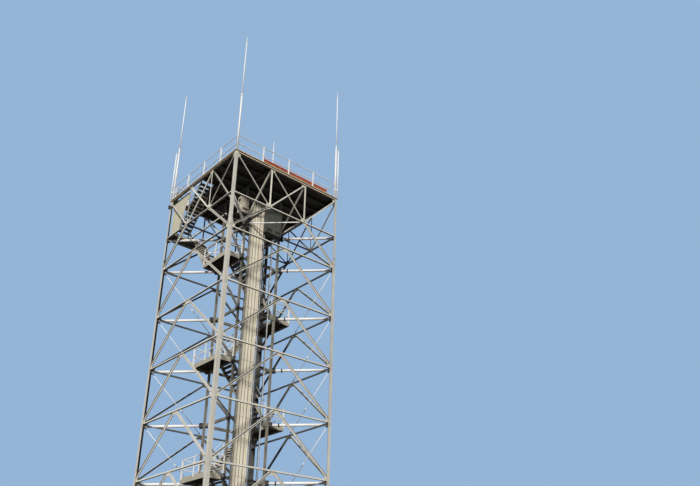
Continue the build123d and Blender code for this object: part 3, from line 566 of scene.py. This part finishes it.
class TOWER_OT_struts(bpy.types.Operator):
    """Round plan struts with their tongues, end caps, flanged couplings and brackets"""
    bl_idname = "tower.struts"
    bl_label = "Plan struts"

    def execute(self, context):
        sizes = context.scene.tower_sizes
        radius, drop, tongue, sunk, plate = 0.075, 0.115, 0.16, 0.06, 0.008
        near, far = 2**0.5 * post_face + seat_gap, 2**0.5 * leg_inner - plate - seat_gap
        turns, coupled = (45, 135, 225, 315), (45, 315)
        start, end = near + tongue - sunk, far - tongue + sunk
        tubes, dark, bolts = bmesh.new(), bmesh.new(), []
        for level in levels[1:] + [truss_foot]:
            for turn in turns:
                place = Matrix.Rotation(math.radians(turn), 4, "Z") @ move((0, 0, level - drop))
                along = place @ to_right
                add_prism(tubes, along @ move((0, 0, start)), radius, end - start, 18, smooth=True)
                for x in (start - 0.004, end - 0.008):
                    add_prism(tubes, along @ move((0, 0, x)), radius + 0.008, 0.012, 18, smooth=True)
                for low, high in ((near, start), (end, far)):
                    add_box(tubes, (low, -plate, -0.06), (high, plate, 0.06), place=place)
                if turn in coupled:
                    self.add_coupling(dark, bolts, along, start + sizes.coupling_place, sizes.coupling_radius)
                self.add_brackets(dark, bolts, place, near, far)
        stamp(dark, bolt_head(0.024), bolts)
        add_piece("round_struts", tubes, "white_paint", "pale_steel", replaces=("plan_struts",))
        add_piece("strut_brackets", dark, "tower_paint", "bracket_paint")
        return {"FINISHED"}

    def add_coupling(self, builder, bolts, along, joint, radius):
        """Two bolted flanges on a strut."""
        for x in (joint - 0.030, joint + 0.004):
            add_prism(builder, along @ move((0, 0, x)), radius, 0.026, 18, smooth=True)
        for number in range(6):
            around = Matrix.Rotation(math.radians(60 * number + 30), 4, "Z")
            bolts.append(along @ around @ move((radius - 0.02, 0, joint + 0.030)))

    def add_brackets(self, builder, bolts, place, near, far):
        """Cheeks beside both tongues, side and cover plates round them, and the cheeks' bolts."""
        edge, cheek = 0.002, 0.0205
        for side in (-1, 1):
            for low, high, inner, outer, foot, top in (
                    (near + 0.001, near + 0.085, 0.0085, cheek, -0.13, 0.13),
                    (far - 0.085, far - 0.012, 0.0085, cheek, -0.09, 0.09),
                    (near + 0.02, near + 0.20, 0.088, 0.100, -0.09, 0.09),
                    (far - 0.21, far - 0.05, 0.088, 0.100, -0.09, 0.05)):
                add_box(builder, (low, side * inner, foot), (high, side * outer, top), edge, place)
        for rise in (-0.142, 0.130):
            add_box(builder, (near + 0.001, -0.11, rise), (near + 0.19, 0.11, rise + 0.012), edge, place)
        add_box(builder, (far - 0.24, -0.105, -0.102), (far - 0.04, 0.105, -0.090), edge, place)
        for side in (-1, 1):
            turn = Matrix.Rotation(-side * quarter, 4, "X")
            for x, rows in ((near + 0.045, (-0.085, 0.085)), (far - 0.045, (-0.035, 0.035))):
                bolts += [place @ move((x, side * cheek, z)) @ turn for z in rows]


class TOWER_OT_ducts(bpy.types.Operator):
    """Ribbed duct covers with joint bands, the cables beside them and the round conduits"""
    bl_idname = "tower.ducts"
    bl_label = "Cable ducts"

    def execute(self, context):
        sizes = context.scene.tower_sizes
        back, front = tie_front - 0.060, tie_front - 0.210
        low, high, skin = 0.02, duct_top - 0.02, front + sizes.rib_height
        band_pitch, band_count, band_half = panel_height / 2, 16, 0.022
        covers, ribs, bands = bmesh.new(), bmesh.new(), bmesh.new()
        wide_duct, narrow_duct = (-0.905, -0.325), (-0.280, -0.080)
        for left, right in (wide_duct, narrow_duct):
            add_box(covers, (left, skin, 0), (right, back, duct_top), 0.004)
            count = max(2, round((right - left) / sizes.rib_pitch))
            pitch = (right - left) / count
            for number in range(count):
                x = left + (number + 0.5) * pitch
                add_box(ribs, (x - pitch * 0.35, front, low), (x + pitch * 0.35, skin, high))
            for y in (front + 0.050, front + 0.110):
                add_box(ribs, (left - 0.008, y - 0.014, low), (left, y + 0.014, high))
            for number in range(1, band_count + 1):
                foot, top = number * band_pitch - band_half, number * band_pitch + band_half
                deep = 0.004 if number % 2 else 0.010
                add_box(bands, (left - deep, front - deep, foot), (right + deep, front, top))
                add_box(bands, (left - deep, front, foot), (left, back, top))
                add_box(bands, (right, front, foot), (right + deep, back, top))
        # The covers show between the ribs in the darker duct paint: painted shade in the recesses
        add_piece("duct_covers", covers, "galvanised", "duct_recess_paint", replaces=("cable_ducts",))
        add_piece("duct_ribs", ribs, "galvanised", "duct_paint")
        add_piece("duct_bands", bands, "galvanised", "duct_band_paint")
        self.make_conduits(back)
        self.make_cables(back)
        return {"FINISHED"}

    def make_conduits(self, back):
        """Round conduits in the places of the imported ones, with couplings and saddles."""
        builder, radius, short = bmesh.new(), 0.030, 23.9497
        line = back - radius
        for x, top in ((-0.965, duct_top), (0.060, short), (0.700, short)):
            add_tube(builder, (x, line, 0), (x, line, top), radius, 14)
            for level in levels[1:]:
                z = level + 1.2
                add_tube(builder, (x, line, z - 0.05), (x, line, z + 0.05), 0.036, 14)
                add_box(builder, (x - 0.048, back - 0.066, z - 1.30), (x + 0.048, line, z - 1.27), 0.003)
        add_piece("round_conduits", builder, "galvanised", "dull_steel", replaces=("conduits",))

    def make_cables(self, back):
        """Straight cables clipped to the duct brackets, from the ground to the deck framing."""
        builder, short = bmesh.new(), 23.9
        cables = ((-0.303, 0.016, duct_top), (-0.052, 0.014, short), (-0.018, 0.018, short), (0.118, 0.016, short),
                  (0.165, 0.020, short), (0.640, 0.016, short))
        for x, radius, top in cables:
            line, reach = back - radius, radius + 0.010
            add_tube(builder, (x, line, 0.02), (x, line, top), radius, 10)
            for level in levels[1:]:
                z = level - landing_drop - 0.038
                add_box(builder, (x - reach, line - radius - 0.004, z - 0.012), (x + reach, back, z + 0.012))
        add_piece("clipped_cables", builder, "galvanised", "cable_sheath")


class TOWER_OT_cabinets(bpy.types.Operator):
    """Two weatherproof cabinets with doors, hinges, handles, vents, roofs and cable glands"""
    bl_idname = "tower.cabinets"
    bl_label = "Cabinets"

    def execute(self, context):
        back, top = tie_front - seat_gap, 25.70
        bodies, fittings = bmesh.new(), bmesh.new()
        self.cabinet(bodies, fittings, (-1.85, -1.6475, 24.65), (-post_face - seat_gap, -1.2575, top), 1)
        split = len(bodies.faces)
        self.cabinet(bodies, fittings, (-0.06, back - 0.435, 23.95), (1.08, back, top), 2)
        bodies.faces.ensure_lookup_table()
        for face in bodies.faces[split:]:
            face.material_index = 1
        add_piece("cabinet_bodies", bodies, "cabinet_paint", "pale_cabinet_paint", "dark_cabinet_paint",
                  replaces=("cabinets",))
        add_piece("cabinet_fittings", fittings, "cabinet_paint", "bracket_paint")
        return {"FINISHED"}

    def cabinet(self, bodies, fittings, low, high, doors):
        """One cabinet: its box, roof, sill and door leaves, with dark fittings in a mesh of their own."""
        left, front, foot = low
        right, back, top = high
        skin, border = front + 0.025, 0.02
        add_box(bodies, (left + 0.008, skin, foot + 0.006), (right - 0.008, back, top - 0.020), 0.006)
        add_box(bodies, (left, front, top - 0.045), (right, back, top), 0.008)
        add_box(bodies, (left, front + 0.012, foot), (right, back, foot + 0.030), 0.004)
        width = (right - left - 2 * border) / doors
        for door in range(doors):
            start = left + border + door * width
            end = start + width - 0.008
            leaf = add_box(bodies, (start, front + 0.006, foot + 0.05), (end, skin, top - 0.065))
            self.sink_panel(bodies, leaf, 0.045, 0.006)
            hinge, handle = (start + 0.004, end - 0.05) if door == 0 else (end - 0.004, start + 0.05)
            self.add_door_fittings(fittings, hinge, handle, front, foot, top)
            for slat in range(6):
                z = foot + 0.16 + slat * 0.028
                add_box(fittings, (start + 0.10, front + 0.002, z), (end - 0.10, front + 0.014, z + 0.012))
        for slat in range(8):
            z = top - 0.32 + slat * 0.026
            add_box(fittings, (left - 0.001, front + 0.11, z), (left + 0.010, back - 0.08, z + 0.011))
        for number in range(4):
            x = left + (number + 0.7) * (right - left) / 5
            place = move((x, (front + back) / 2, foot - 0.001)) @ Matrix.Rotation(math.pi, 4, "X")
            add_prism(fittings, place, 0.026, 0.018, 6)
            add_prism(fittings, place @ move((0, 0, 0.018)), 0.020, 0.022, 12, 0.014, smooth=True)

    def add_door_fittings(self, builder, hinge, handle, front, foot, top):
        """Three hinges up one side of a door leaf, and a lever on its plate at the other."""
        middle = (foot + top) / 2
        for share in (0.12, 0.5, 0.88):
            z = foot + share * (top - foot)
            add_tube(builder, (hinge, front + 0.004, z - 0.04), (hinge, front + 0.004, z + 0.04), 0.009, 10)
        add_box(builder, (handle - 0.014, front - 0.004, middle - 0.07),
                (handle + 0.014, front + 0.012, middle + 0.07), 0.004)
        add_tube(builder, (handle, front - 0.004, middle), (handle, front - 0.026, middle), 0.008, 10)
        add_box(builder, (handle - 0.007, front - 0.034, middle - 0.10),
                (handle + 0.007, front - 0.024, middle + 0.012), 0.003)

    def sink_panel(self, builder, verts, border, depth):
        """Insets the front face of a door leaf and sinks the panel inside."""
        found = {face for vert in verts for face in vert.link_faces}
        front = min(found, key=lambda face: face.calc_center_median().y)
        bmesh.ops.inset_region(builder, faces=[front], thickness=border, depth=0.0)
        bmesh.ops.inset_region(builder, faces=[front], thickness=depth, depth=-depth)


class TOWER_OT_stairs(bpy.types.Operator):
    """Nosings, bearing bars and end brackets on every tread"""
    bl_idname = "tower.stairs"
    bl_label = "Stair treads"

    def execute(self, context):
        nosings, bars = bmesh.new(), bmesh.new()
        lip, top = -0.1203, 0.0003
        for place, run, rise, width, treads in self.flights():
            clear = width / 2 - 0.0123
            for number in range(1, treads + 1):
                tread = place @ move((number * run / (treads + 1), 0, number * rise / (treads + 1)))
                add_box(nosings, (-0.128, -clear, -0.040), (lip, clear, 0.003), place=tread)
                add_box(nosings, (lip, -clear, top), (-0.090, clear, 0.004), place=tread)
                for bar in range(7):
                    x = -0.070 + bar * 0.029
                    add_box(bars, (x - 0.0025, -clear, top), (x + 0.0025, clear, 0.0045), place=tread)
                for side in (-1, 1):
                    add_box(bars, (-0.10, side * clear, -0.075), (0.10, side * (clear - 0.004), -0.0355), place=tread)
        add_piece("tread_nosings", nosings, "stair_steel", "nosing_paint")
        add_piece("tread_bars", bars, "stair_steel", "tread_paint")
        return {"FINISHED"}

    def flights(self):
        """Each flight's place, with X up the stair, and its run, rise, width and number of treads."""
        outer, inner, treads = third - 0.077, 0.06, 14
        found = []
        for number in range(7):
            side = -1 if number % 2 else 1
            foot = levels[number] - landing_drop if number else 0.0
            rise = levels[number + 1] - landing_drop - foot
            place = move((side * post_face, -side * (outer + inner) / 2, foot))
            if side > 0:
                place = place @ Matrix.Rotation(math.pi, 4, "Z")
            found.append((place, 2 * post_face, rise, outer - inner, treads))
        tie_low, corner_depth = truss_foot - 0.0445 + 0.008 + seat_gap, 0.15
        corner_foot, corner_top = levels[7] - landing_drop, tie_low + corner_depth
        landing_end, corner_front = 1.25, half - 0.02 - 0.84
        turn = Matrix.Rotation(quarter, 4, "Z")
        place = move((-1.90, landing_end + seat_gap, corner_foot)) @ turn
        found.append((place, corner_front - 2 * seat_gap - landing_end, corner_top - corner_foot, 0.70, 11))
        last_run, last_width, deck_foot = 2.5, 0.78, deck_top - 0.012
        place = move((-3.09, corner_front - seat_gap, corner_top)) @ turn.inverted()
        found.append((place, last_run, deck_foot - corner_top, last_width, treads))
        return found


class TOWER_OT_landings(bpy.types.Operator):
    """Cross bars and toe boards of the landings"""
    bl_idname = "tower.landings"
    bl_label = "Landings"

    def execute(self, context):
        toes, bars = bmesh.new(), bmesh.new()
        near, far, end_line = post_face + seat_gap, post_face + 1.0303, 1.205
        for number, level in enumerate(levels[1:], start=1):
            side = -1 if number % 2 else 1
            high = level - landing_drop
            tray, toe_foot, toe_top = high - 0.0083, high + 0.004, high + 0.104
            inner, outer = side * (near + 0.011), side * (far - 0.011)
            for row in range(-4, 5):
                y = row * 0.27
                add_box(bars, (inner, y - 0.003, high - 0.085), (outer, y + 0.003, tray))
                add_box(bars, (inner, y - 0.025, high - 0.091), (outer, y + 0.025, high - 0.085))
            for row in (-1, 1):
                x = side * (near + 0.515) + row * 0.22
                add_box(bars, (x - 0.003, -1.235, high - 0.060), (x + 0.003, 1.235, tray))
            add_box(toes, (side * (far - 0.045), -end_line, toe_foot), (side * (far - 0.041), end_line, toe_top))
            for end in (-1, 1):
                if number < 7 or end < 0:
                    add_box(toes, (side * (near + 0.005), end * end_line, toe_foot),
                            (side * (far - 0.045), end * (end_line + 0.004), toe_top))
        add_piece("toe_boards", toes, "stair_steel", "stair_paint")
        # The landing bars take the near-black paint as painted shade
        add_piece("landing_bars", bars, "stair_steel", "under_deck_paint")
        return {"FINISHED"}


class TOWER_OT_deck(bpy.types.Operator):
    """Foot plates, bolts, caps and rail sleeves of the rail posts, bolts of the deck edge and seams of the plate"""
    bl_idname = "tower.deck"
    bl_label = "Deck fittings"

    def execute(self, context):
        builder, heads = bmesh.new(), []
        foot, bolt_offset = deck_top + 0.010, 0.055
        for x in rail_posts:
            for half_width, low, high, edge in ((0.075, deck_top, foot, 0.003),
                                                (0.034, deck_top + 1.070, deck_top + 1.102, 0.008)):
                add_box(builder, (x - half_width, -rail_line - half_width, low),
                        (x + half_width, -rail_line + half_width, high), edge)
            for z in (deck_top + 0.48, deck_top + 1.05):
                for side in (-1, 1):
                    add_tube(builder, (x + side * 0.031, -rail_line, z), (x + side * 0.075, -rail_line, z), 0.030, 12)
            heads += [move((x + across, -rail_line + deep, foot)) for across in (-bolt_offset, bolt_offset)
                      for deep in (-bolt_offset, bolt_offset)]
        heads += [move(((number - 3.5) * 0.93, -half - 0.0705, deck_top - 0.035)) @ out_of_front
                  for number in range(8)]
        stamp(builder, bolt_head(0.020), heads)
        add_to_faces("rail_feet", builder, "pale_steel")
        seams, width, end, low = bmesh.new(), 0.012, 3.45, deck_top - 0.001
        for line in (-1.22, 1.22):
            add_box(seams, (-end, line - width, low), (-2.62 if line > 0 else end, line + width, deck_top + 0.004))
            add_box(seams, (line - width, -end, low), (line + width, end, deck_top + 0.0038))
        add_piece("deck_seams", seams, "tower_paint", "deck_seam_paint")
        return {"FINISHED"}


class TOWER_OT_rods(bpy.types.Operator):
    """Tapered lightning rods with feet, reducers and points, and the short poles with caps and clamps"""
    bl_idname = "tower.rods"
    bl_label = "Rods and poles"

    def execute(self, context):
        self.make_rods()
        self.make_poles()
        return {"FINISHED"}

    def add_rounds(self, builder, base, *rounds):
        """Round pieces up a line: each one's height above the base, radius, length, segments and top radius."""
        for height, radius, length, segments, top_radius in rounds:
            add_prism(builder, base @ move((0, 0, height)), radius, length, segments, top_radius, smooth=True)

    def make_rods(self):
        """The four rods: a wide foot tube, a thin upper tube and a point, with sleeves at the joints."""
        rods, heads = bmesh.new(), []
        step, point, tip = 3.9, 8.0, 8.35
        wide, thin = 0.051, 0.032
        for x in (-rail_line, rail_line):
            for y in (-rail_line, rail_line):
                base = move((x, y, deck_top))
                self.add_rounds(rods, base, (0, wide, step, 24, None), (step, thin, point - step, 20, None))
                add_prism(rods, base, 0.112, 0.014, 20)
                self.add_rounds(
                    rods, base, (step - 0.10, 0.057, 0.10, 24, None), (step, 0.055, 0.10, 24, 0.034),
                    (5.9, 0.038, 0.06, 20, None), (point - 0.05, 0.038, 0.06, 20, None),
                    (point, thin, tip - point, 20, 0.006))
                for number in range(6):
                    around = Matrix.Rotation(math.radians(60 * number), 4, "Z")
                    heads.append(base @ around @ move((0.086, 0, 0.014)))
        stamp(rods, bolt_head(0.020), heads)
        add_piece("tapered_rods", rods, "white_paint", "pale_steel", replaces=("lightning_rods",))

    def make_poles(self):
        """The two short poles beside two of the rods, with a cap each and clamps to the rod."""
        poles, clamps = bmesh.new(), bmesh.new()
        line, height, cap = rail_line + 0.105, 3.55, 0.045
        for side in (-1, 1):
            pole, rod = (move((side * reach, -side * reach, deck_top)) for reach in (line, rail_line))
            turn = Matrix.Rotation(math.atan2(-side, side), 4, "Z")
            self.add_rounds(poles, pole, (0, 0.038, height, 20, None), (height, 0.048, cap, 20, None),
                            (height + cap, 0.048, 0.025, 20, 0.020))
            for rise in (0.6, 2.4):
                lift = move((0, 0, rise))
                add_prism(clamps, pole @ lift, 0.046, 0.05, 16)
                add_prism(clamps, rod @ lift, 0.060, 0.05, 16)
                add_box(clamps, (0.058, -0.010, 0.008), (0.106, 0.010, 0.042), place=rod @ lift @ turn)
        add_piece("capped_poles", poles, "white_paint", "pale_steel", replaces=("short_poles",))
        add_piece("pole_clamps", clamps, "white_paint", "pale_steel")


class TOWER_OT_sway_rods(bpy.types.Operator):
    """Thin white rods with turnbuckles from two legs down to the middle of each girt of the two back faces"""
    bl_idname = "tower.sway_rods"
    bl_label = "Sway rods"

    def execute(self, context):
        builder, ends = bmesh.new(), bmesh.new()
        line, edge, middle = half - 0.045, -half + 0.16, -0.14
        for level in levels[2:]:
            high, low = level - 0.14, level - panel_height + 0.11
            for start, end in (((line, edge, high), (line, middle, low)), ((edge, line, high), (middle, line, low))):
                start, end = Vector(start), Vector(end)
                along = (end - start).normalized()
                turnbuckle = start + along * (end - start).length * 0.62
                add_tube(builder, start, end, 0.020, 10)
                add_tube(builder, turnbuckle - along * 0.11, turnbuckle + along * 0.11, 0.030, 12)
                for point in (start, end):
                    add_tube(ends, point - along * 0.05, point + along * 0.05, 0.030, 10)
        add_piece("sway_rods", builder, "white_paint", "pale_steel")
        add_piece("sway_rod_ends", ends, "white_paint", "bracket_paint")
        return {"FINISHED"}


class TOWER_OT_kick_board(bpy.types.Operator):
    """Folded kick board sheets with seams, bolts and brackets"""
    bl_idname = "tower.kick_board"
    bl_label = "Kick board"

    def execute(self, context):
        folds = context.scene.tower_sizes.kick_folds
        left, right, height, depth = -1.76, 2.95, 0.38, 0.031
        back = -rail_line + 0.030 + depth + seat_gap
        front, groove = back - depth, back - 0.006
        top, pitch = deck_top + height, height / folds
        seams = (-1.745, -0.59, 0.58, 1.76, 2.935)
        bracket_lines = (-1.60, -0.75, -0.42, 0.42, 0.75, 1.60, 1.92, 2.78)
        sheet, brackets, groove_shades, heads = bmesh.new(), bmesh.new(), bmesh.new(), []
        outline = []
        for z in (fold * pitch for fold in range(folds)):
            outline += [(groove, z), (groove, z + pitch * 0.28), (front, z + pitch * 0.42), (front, z + pitch * 0.80)]
        outline.append((groove, height))
        verts = [sheet.verts.new((left, y, deck_top + z)) for y, z in outline]
        edges = [sheet.edges.new(pair) for pair in zip(verts, verts[1:])]
        draw_out(sheet, bmesh.ops.extrude_edge_only(sheet, edges=edges), (right - left, 0, 0))
        bmesh.ops.recalc_face_normals(sheet, faces=sheet.faces)
        bmesh.ops.solidify(sheet, geom=list(sheet.faces), thickness=0.003)
        for x in seams:
            add_box(sheet, (x - 0.014, front - 0.002, deck_top), (x + 0.014, front + 0.002, top))
        for x in bracket_lines:
            add_box(brackets, (x - 0.020, back, deck_top), (x + 0.020, back + 0.006, top), 0.002)
            add_box(brackets, (x - 0.020, back, deck_top), (x + 0.020, back + 0.10, deck_top + 0.006), 0.002)
            heads += [move((x, front, deck_top + (fold + 0.56) * pitch)) @ out_of_front for fold in (0, folds - 1)]
            heads.append(move((x, back + 0.07, deck_top + 0.006)))
        stamp(brackets, bolt_head(0.016), heads)
        # Dark strips in the recessed part of each fold: painted shade
        for fold in range(folds):
            z = deck_top + fold * pitch
            add_box(groove_shades, (left + 0.002, groove - 0.0035, z + 0.002),
                    (right - 0.002, groove - 0.0005, z + pitch * 0.30))
        add_piece("folded_kick_board", sheet, "red_paint", "kick_paint", replaces=("kick_board",))
        add_piece("kick_board_grooves", groove_shades, "red_paint", "kick_groove_paint")
        add_piece("kick_board_brackets", brackets, "red_paint", "bracket_paint")
        return {"FINISHED"}


class TOWER_OT_shield(bpy.types.Operator):
    """The stair's side shield with its edge strips, stiffeners and bolts, and the small lamp on the leg beside it"""
    bl_idname = "tower.shield"
    bl_label = "Stair shield"

    def execute(self, context):
        builder, heads, sheet = bmesh.new(), [], bmesh.new()
        outside, back = -3.4863, 3.4775
        low, chord, top = 24.3541, 26.7892, 27.491
        corners = [(back, low), (back, top), (3.10, top), (3.10, chord), (1.60, chord), (1.60, 26.744), (2.60, low)]
        verts = [sheet.verts.new((outside, y, z)) for y, z in corners]
        draw_out(sheet, bmesh.ops.extrude_face_region(sheet, geom=[sheet.faces.new(verts)]), (0.006, 0, 0))
        for start, end in ((0, 1), (1, 2), (5, 6)):
            first, last = Vector(corners[start]), Vector(corners[end])
            run = last - first
            place = move((outside, first.x, first.y)) @ Matrix.Rotation(math.atan2(run.y, run.x), 4, "X")
            add_box(builder, (-0.022, 0.0, -0.004), (0.0, run.length, 0.004), place=place)
            count = max(2, int(run.length / 0.35))
            heads += [place @ move((0, (number + 0.5) * run.length / count, 0.03)) @ to_left
                      for number in range(count)]
        stiffeners = ((3.10, 24.42), (2.70, 24.42), (2.30, 25.16), (1.95, 25.98))
        for y, foot in stiffeners:
            add_box(builder, (outside - 0.016, y - 0.012, foot), (outside, y + 0.012, 26.76), 0.003)
        stamp(builder, bolt_head(0.018), heads)
        add_piece("shield_sheet", sheet, "cabinet_paint", "shield_paint", replaces=("stair_shield",))
        add_piece("shield_edges", builder, "cabinet_paint", "shield_paint")
        self.make_lamp()
        return {"FINISHED"}

    def make_lamp(self):
        """A round lamp with a hood, on a bracket against the back left leg."""
        body, hood = bmesh.new(), bmesh.new()
        skin, middle, plate = -leg_inner - leg_thickness[1], 3.60, 0.008
        place = move((skin, middle, 26.42)) @ to_left
        add_box(hood, (skin - plate, middle - 0.06, 26.30), (skin, middle + 0.06, 26.62), 0.002)
        add_prism(body, place @ move((0, 0, plate)), 0.085, 0.05, 20, smooth=True)
        add_prism(body, place @ move((0, 0, plate + 0.05)), 0.095, 0.07, 20, 0.105, smooth=True)
        add_box(hood, (skin - 0.16, middle - 0.11, 26.53), (skin - plate, middle + 0.11, 26.545), 0.003)
        add_piece("leg_lamp", body, "cabinet_paint", "lamp_paint")
        add_piece("leg_lamp_hood", hood, "cabinet_paint", "nosing_paint")


class TOWER_OT_stage(bpy.types.Operator):
    """Make the floor, the background, the lights and the camera"""
    bl_idname = "tower.stage"
    bl_label = "Stage"

    def execute(self, context):
        self.make_floor(context)
        self.make_world(context)
        self.make_light(context)
        self.make_camera(context)
        context.scene.view_settings.view_transform = "Standard"
        return {"FINISHED"}

    def seen(self, tree):
        """What a light path is, and whether it shows a surface straight or in a gloss."""
        path = tree.nodes.new("ShaderNodeLightPath").outputs
        return path, joined(tree, "MAXIMUM", path["Is Camera Ray"], path["Is Glossy Ray"])

    def make_floor(self, context):
        """A round pale floor that is darker to the light that it sends up."""
        builder = bmesh.new()
        bmesh.ops.create_circle(builder, cap_ends=True, segments=96, radius=180.0)
        mesh = bpy.data.meshes.new("floor")
        builder.to_mesh(mesh)
        builder.free()
        floor = bpy.data.objects.new("floor", mesh)
        context.scene.collection.objects.link(floor)
        material = bpy.data.materials.new("floor")
        material.use_nodes = True
        tree = material.node_tree
        shader = tree.nodes["Principled BSDF"]
        shader.inputs["Roughness"].default_value = 0.9
        shader.inputs["Specular IOR Level"].default_value = 0.0
        lit, shown = (0.16, 0.15, 0.13, 1), (0.66, 0.70, 0.75, 1)
        tree.links.new(mixed(tree, self.seen(tree)[1], lit, shown), shader.inputs["Base Color"])
        mesh.materials.append(material)

    def make_world(self, context):
        """An even light from all sides and a pale blue background."""
        world = bpy.data.worlds.new("world")
        context.scene.world = world
        world.use_nodes = True
        tree = world.node_tree
        background = tree.nodes["Background"]
        path, seen = self.seen(tree)
        through = joined(tree, "MAXIMUM", seen, path["Is Transmission Ray"])
        light, shown = (0.20, 0.205, 0.215, 1), (0.30, 0.46, 0.68, 1)
        tree.links.new(mixed(tree, through, light, shown), background.inputs["Color"])
        background.inputs["Strength"].default_value = 1.0

    def make_light(self, context):
        """A broad soft sun over the left shoulder of the camera."""
        lamp = bpy.data.lights.new("key", "SUN")
        lamp.energy = 3.8
        lamp.angle = math.radians(6.0)
        lamp.color = (1.0, 0.96, 0.90)
        key = bpy.data.objects.new("key", lamp)
        context.scene.collection.objects.link(key)
        key.rotation_mode = "QUATERNION"
        key.rotation_quaternion = Vector((0.71, 0.61, -0.36)).to_track_quat("-Z", "Y")

    def make_camera(self, context):
        """The photograph's view, from the ground in front of the front left leg."""
        view = context.scene.tower_view
        camera = bpy.data.objects.new("camera", bpy.data.cameras.new("camera"))
        context.scene.collection.objects.link(camera)
        camera.data.sensor_width = sensor_width
        camera.data.lens = focal_pixels / photo_width * sensor_width
        camera.data.shift_x = (photo_width / 2 - principal_point[0]) / photo_width
        camera.data.shift_y = (principal_point[1] - photo_height / 2) / photo_width
        camera.data.clip_end = 500.0
        forward = Vector((
            math.cos(view.azimuth) * math.cos(view.pitch), math.sin(view.azimuth) * math.cos(view.pitch),
            math.sin(view.pitch),
        ))
        turn = forward.to_track_quat("-Z", "Y").to_matrix().to_4x4()
        camera.matrix_world = move(view.position) @ turn @ Matrix.Rotation(view.roll, 4, "Z")
        context.scene.camera = camera


class TOWER_PT_panel(bpy.types.Panel):
    """Lists the tower's pieces and their sizes and colours"""
    bl_label = "Radar tower"
    bl_idname = "TOWER_PT_panel"
    bl_space_type = "VIEW_3D"
    bl_region_type = "UI"
    bl_category = "Radar tower"

    def draw(self, context):
        for group in (context.scene.tower_sizes, context.scene.tower_colours, context.scene.tower_view):
            for key in group.bl_rna.properties.keys():
                if key not in ("rna_type", "name"):
                    self.layout.prop(group, key)
        for operator in operators:
            self.layout.operator(operator.bl_idname)


# In the order in which they make the tower
operators = (
    TOWER_OT_finishes, TOWER_OT_bolts, TOWER_OT_splices, TOWER_OT_struts, TOWER_OT_ducts, TOWER_OT_cabinets,
    TOWER_OT_stairs, TOWER_OT_landings, TOWER_OT_deck, TOWER_OT_rods, TOWER_OT_sway_rods, TOWER_OT_kick_board,
    TOWER_OT_shield, TOWER_OT_stage,
)
classes = (TowerSizes, TowerColours, TowerView, *operators, TOWER_PT_panel)


def register():
    for item in classes:
        bpy.utils.register_class(item)
    bpy.types.Scene.tower_sizes = bpy.props.PointerProperty(type=TowerSizes)
    bpy.types.Scene.tower_colours = bpy.props.PointerProperty(type=TowerColours)
    bpy.types.Scene.tower_view = bpy.props.PointerProperty(type=TowerView)


def unregister():
    del bpy.types.Scene.tower_view
    del bpy.types.Scene.tower_colours
    del bpy.types.Scene.tower_sizes
    for item in reversed(classes):
        bpy.utils.unregister_class(item)


def main():
    """Makes every piece and the stage."""
    register()
    for operator in operators:
        getattr(bpy.ops.tower, operator.bl_idname.removeprefix("tower."))()


if __name__ == "__main__":
    main()
